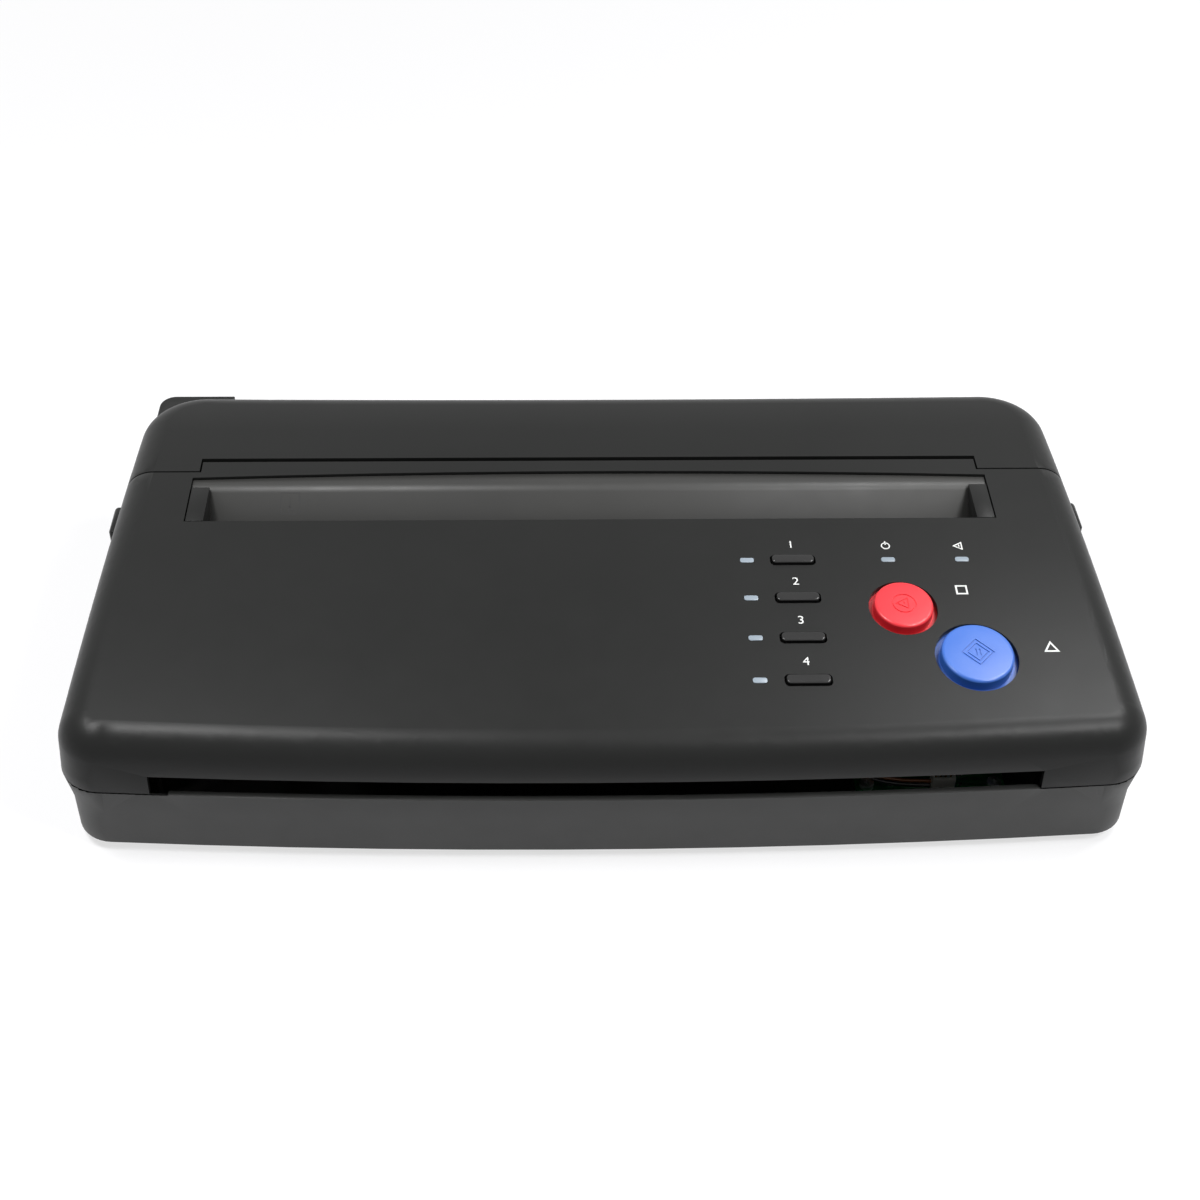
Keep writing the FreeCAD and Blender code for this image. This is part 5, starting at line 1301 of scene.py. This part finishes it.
# %% [markdown]
# ## Print head
# The print head is a strip of glazed ceramic with one dark heater line along it, which faces the
# rubber roller, and a row of driver chips under a bead of black resin along its lower edge.

# %% Print head
def build_head():
    node = "thermal_print_head"
    finish_node(node, 0.1)
    low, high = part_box(node)
    line_z = middle_of("platen_rubber").z
    face_y = low.y
    heater = add_block((low.x + 4 * MM, face_y - 0.06 * MM, line_z - 0.5 * MM),
                       (high.x - 4 * MM, face_y + 0.02 * MM, line_z + 0.5 * MM))
    round_edges(heater, 0.02 * MM)
    settle(heater, "heater_line", "key_black", "base")
    resin = soft_block((low.x + 2 * MM, face_y - 0.9 * MM, low.z + 0.5 * MM),
                       (high.x - 2 * MM, face_y + 0.1 * MM, low.z + 3.5 * MM), 0.4 * MM, 3)
    settle(resin, "driver_resin", "key_black", "base")


build_head()
print("print head finished")

# %% [markdown]
# ## Rocker
# The rocker of the mains switch is marked with a plain bar and a ring, for on and off. Each is a film
# of ink on its own half. A level line from behind finds the surface, as the plumb line does above.

# %% Rocker with its marks
mark_rise = 3.9 * MM


def build_rocker():
    node = "power_rocker"
    finish_node(node, 0.25)
    middle = middle_of(node)
    on_bar = bar(0.6 * MM, 2.8 * MM, 0, 0, ink_low, ink_high)
    off_ring = polygon_band(32, 1.4 * MM, 0.5 * MM, 0.0, ink_low, ink_high)
    for name, rise, mark in (("rocker_bar", mark_rise, on_bar), ("rocker_ring", -mark_rise, off_ring)):
        place, normal = meet(node, Vector((middle.x, 1.0, middle.z + rise)), Vector((0, -1, 0)))
        lay_on(mark, place, normal, Vector((-1.0, 0.0, 0.0)))
        settle(dressed(mark, "ink"), name, "white", home_of[node])


build_rocker()
print("rocker marked")

# %% [markdown]
# ## Leads
# Two motor leads run from the front plug of the main board, round behind the exit slot, to the motor.
# Three short supply leads go from the inlet and the switch to the terminal block. Each is a smooth
# curve through a few given points, as round as its insulation.

# %% Leads as smooth curves
lead_radius = 0.8 * MM
lead_spacing = 2.4 * MM


def lead_curve(name, points, finish):
    data = bpy.data.curves.new(name, "CURVE")
    data.dimensions = "3D"
    data.bevel_resolution = 3
    spline = data.splines.new("NURBS")
    spline.points.add(len(points) - 1)
    for spot, place in zip(spline.points, points):
        spot.co = (*place, 1.0)
    spline.order_u = 3
    spline.use_endpoint_u = True
    spline.resolution_u = 12
    piece = new_object(name, data)
    bare = bpy.data.meshes.new_from_object(piece)
    data.bevel_depth = lead_radius
    data.use_fill_caps = True
    data.materials.append(finishes[finish])
    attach(piece, "base")
    return piece


plugs = [corners_of(points) for points in solids_of("board_connectors")]
plug_low, plug_high = min(plugs, key=lambda box: box[0].y)
plug_y = (plug_low.y + plug_high.y) / 2
plug_z = (plug_low.z + plug_high.z) / 2
motor_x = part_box("stepper_motor")[1].x
for level, finish in ((0, "lead_brown"), (1, "lead_black")):
    drop = Vector((0, 0, -level * lead_spacing))
    route = [Vector((plug_low.x, plug_y, plug_z)),
             Vector((113 * MM, plug_y, plug_z)),
             Vector((100 * MM, plug_y + 6 * MM, plug_z)),
             Vector((92 * MM, plug_y + 19 * MM, plug_z - 2 * MM)),
             Vector((78 * MM, plug_y + 30 * MM, plug_z - 10 * MM)),
             Vector((52 * MM, plug_y + 36 * MM, 17 * MM)),
             Vector((2 * MM, plug_y + 35 * MM, 14 * MM)),
             Vector((-50 * MM, plug_y + 37 * MM, 16 * MM)),
             Vector((-76 * MM, plug_y + 45 * MM, 20 * MM)),
             Vector((motor_x, plug_y + 45 * MM, 20 * MM))]
    lead = lead_curve("motor_lead_" + str(level + 1), [place + drop for place in route], finish)
    if level == 0:
        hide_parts("motor_leads")

supply_starts = ((157.0, 90.5, 19.0), (150.0, 90.5, 19.0), (110.0, 89.5, 19.0))
supply_ends = ((171.0, 52.5, 17.6), (164.0, 52.5, 17.6), (157.0, 52.5, 17.6))
for index, (start, end) in enumerate(zip(supply_starts, supply_ends), start=1):
    start = Vector(start) * MM
    end = Vector(end) * MM
    run = Vector((0, (start.y - end.y) / 3, 0))
    lead = lead_curve("supply_lead_" + str(index), [start, start - run, end + run, end],
                      finish_of["supply_leads"])
    if index == 1:
        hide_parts("supply_leads")

# %% [markdown]
# ## Studio
# The copier stands on a pale table in a white room. To the camera, and in reflections, the room and
# the table glow by themselves, and the glow leaves room for the copier's own shadow. For diffuse light
# the room is brighter low down behind the copier than overhead, as in a photographer's studio.

# %% Table and surroundings
table_tone = (0.34, 0.34, 0.35, 1)
table_lift = 0.68
pool_radius = 0.5
pool_edge = 1.5
room_dark = 0.10
room_bright = 1.0
glow_fall = -0.9
glow_start = -0.1
glow_full = 0.9


def add_math(tree, operation, *sources):
    step = tree.nodes.new("ShaderNodeMath")
    step.operation = operation
    for socket, source in zip(step.inputs, sources):
        feed(tree, socket, source)
    return step.outputs["Value"]


def shows_background(tree):
    """1 for rays from the camera, from glossy surfaces and through clear ones, and 0 for the rest."""
    ray = tree.nodes.new("ShaderNodeLightPath").outputs
    seen = add_math(tree, "MAXIMUM", ray["Is Camera Ray"], ray["Is Glossy Ray"])
    return add_math(tree, "MAXIMUM", seen, ray["Is Transmission Ray"])


def build_table():
    bpy.ops.mesh.primitive_plane_add(size=8.0, location=(0, 0, -0.00002))
    table = bpy.context.object
    table.name = "table"
    material = bpy.data.materials.new("table")
    material.use_nodes = True
    tree = material.node_tree
    tree.nodes.clear()
    out = tree.nodes.new("ShaderNodeOutputMaterial")
    matte = tree.nodes.new("ShaderNodeBsdfDiffuse")
    matte.inputs["Color"].default_value = table_tone
    lift = tree.nodes.new("ShaderNodeEmission")
    lift.inputs["Color"].default_value = (1, 1, 1, 1)
    place = tree.nodes.new("ShaderNodeTexCoord").outputs["Object"]
    away = tree.nodes.new("ShaderNodeVectorMath")
    away.operation = "LENGTH"
    tree.links.new(place, away.inputs[0])
    rise = add_range(tree, away.outputs["Value"], table_lift, 1.0, pool_radius, pool_edge)
    tree.links.new(add_math(tree, "MULTIPLY", shows_background(tree), rise), lift.inputs["Strength"])
    both = tree.nodes.new("ShaderNodeAddShader")
    tree.links.new(matte.outputs["BSDF"], both.inputs[0])
    tree.links.new(lift.outputs["Emission"], both.inputs[1])
    tree.links.new(both.outputs["Shader"], out.inputs["Surface"])
    table.data.materials.append(material)
    table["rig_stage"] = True


def build_world():
    world = bpy.data.worlds.new("studio")
    bpy.context.scene.world = world
    world.use_nodes = True
    tree = world.node_tree
    plain = tree.nodes["Background"]
    plain.inputs["Color"].default_value = (1, 1, 1, 1)
    place = tree.nodes.new("ShaderNodeTexCoord").outputs["Generated"]
    split = tree.nodes.new("ShaderNodeSeparateXYZ")
    tree.links.new(place, split.inputs["Vector"])
    low_behind = add_math(tree, "MULTIPLY_ADD", split.outputs["Z"], glow_fall, split.outputs["Y"])
    behind = add_range(tree, low_behind, room_dark, room_bright, glow_start, glow_full)
    seen = tree.nodes.new("ShaderNodeMix")
    seen.data_type = "FLOAT"
    tree.links.new(shows_background(tree), seen.inputs["Factor"])
    tree.links.new(behind, seen.inputs["A"])
    seen.inputs["B"].default_value = 1.0
    tree.links.new(seen.outputs["Result"], plain.inputs["Strength"])


build_table()
build_world()
print("studio built")

# %% [markdown]
# ## Lamps
# Three soft boxes hang overhead. The left one draws the highlight along the left half of the front
# edge, the one in front on the right draws it along the right half, and the third, behind on the
# right, brightens the panel around the two round keys.

# %% Soft boxes
def add_lamp(name, place, target, width, depth, power):
    data = bpy.data.lights.new(name, "AREA")
    data.shape = "RECTANGLE"
    data.size = width
    data.size_y = depth
    data.energy = power
    lamp = new_object(name, data)
    lamp.location = place
    lamp.rotation_euler = (Vector(target) - Vector(place)).to_track_quat("-Z", "Y").to_euler()
    return lamp


add_lamp("softbox_left", (-0.38, -0.08, 0.85), (-0.15, -0.05, 0.03), 0.30, 0.20, 6.0)
add_lamp("softbox_right", (0.48, -0.36, 0.80), (0.18, -0.08, 0.03), 0.24, 0.20, 4.5)
add_lamp("softbox_back_right", (0.46, 0.16, 0.80), (0.15, -0.05, 0.03), 0.30, 0.20, 4.2)

# %% [markdown]
# ## Camera
# The focal length, place and turn were found by matching the corners of the real object's slots, its
# keys and its outline to a photograph, in a frame 1200 pixels wide.

# %% Camera at the photograph's place
picture_side = 1200.0
focal_pixels = 1815.0
centre_pixel = (580.0, 456.0)
camera_fall = math.radians(38.98)
camera_turn = math.radians(1.51)
camera_roll = math.radians(-0.72)
camera_place = Vector((-23.7, -563.2, 572.8)) * MM


def build_camera():
    ahead = Vector((math.sin(camera_turn) * math.cos(camera_fall),
                    math.cos(camera_turn) * math.cos(camera_fall), -math.sin(camera_fall)))
    level = Vector((math.cos(camera_turn), -math.sin(camera_turn), 0.0))
    down = ahead.cross(level)
    right = math.cos(camera_roll) * level + math.sin(camera_roll) * down
    up = math.sin(camera_roll) * level - math.cos(camera_roll) * down
    data = bpy.data.cameras.new("photograph")
    camera = new_object("photograph", data)
    turn = Matrix((right, up, -ahead)).transposed().to_4x4()
    camera.matrix_world = Matrix.Translation(camera_place) @ turn
    data.sensor_width = 36.0
    data.lens = focal_pixels / picture_side * data.sensor_width
    data.shift_x = 0.5 - centre_pixel[0] / picture_side
    data.shift_y = centre_pixel[1] / picture_side - 0.5
    data.clip_start = 0.02
    bpy.context.scene.camera = camera
    print("lens in mm:", round(data.lens, 1))


build_camera()
bpy.context.scene.view_settings.view_transform = "Standard"

# %% Sizes and finish
low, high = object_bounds()
print("visual size in mm:", [round(1000 * side, 1) for side in high - low])
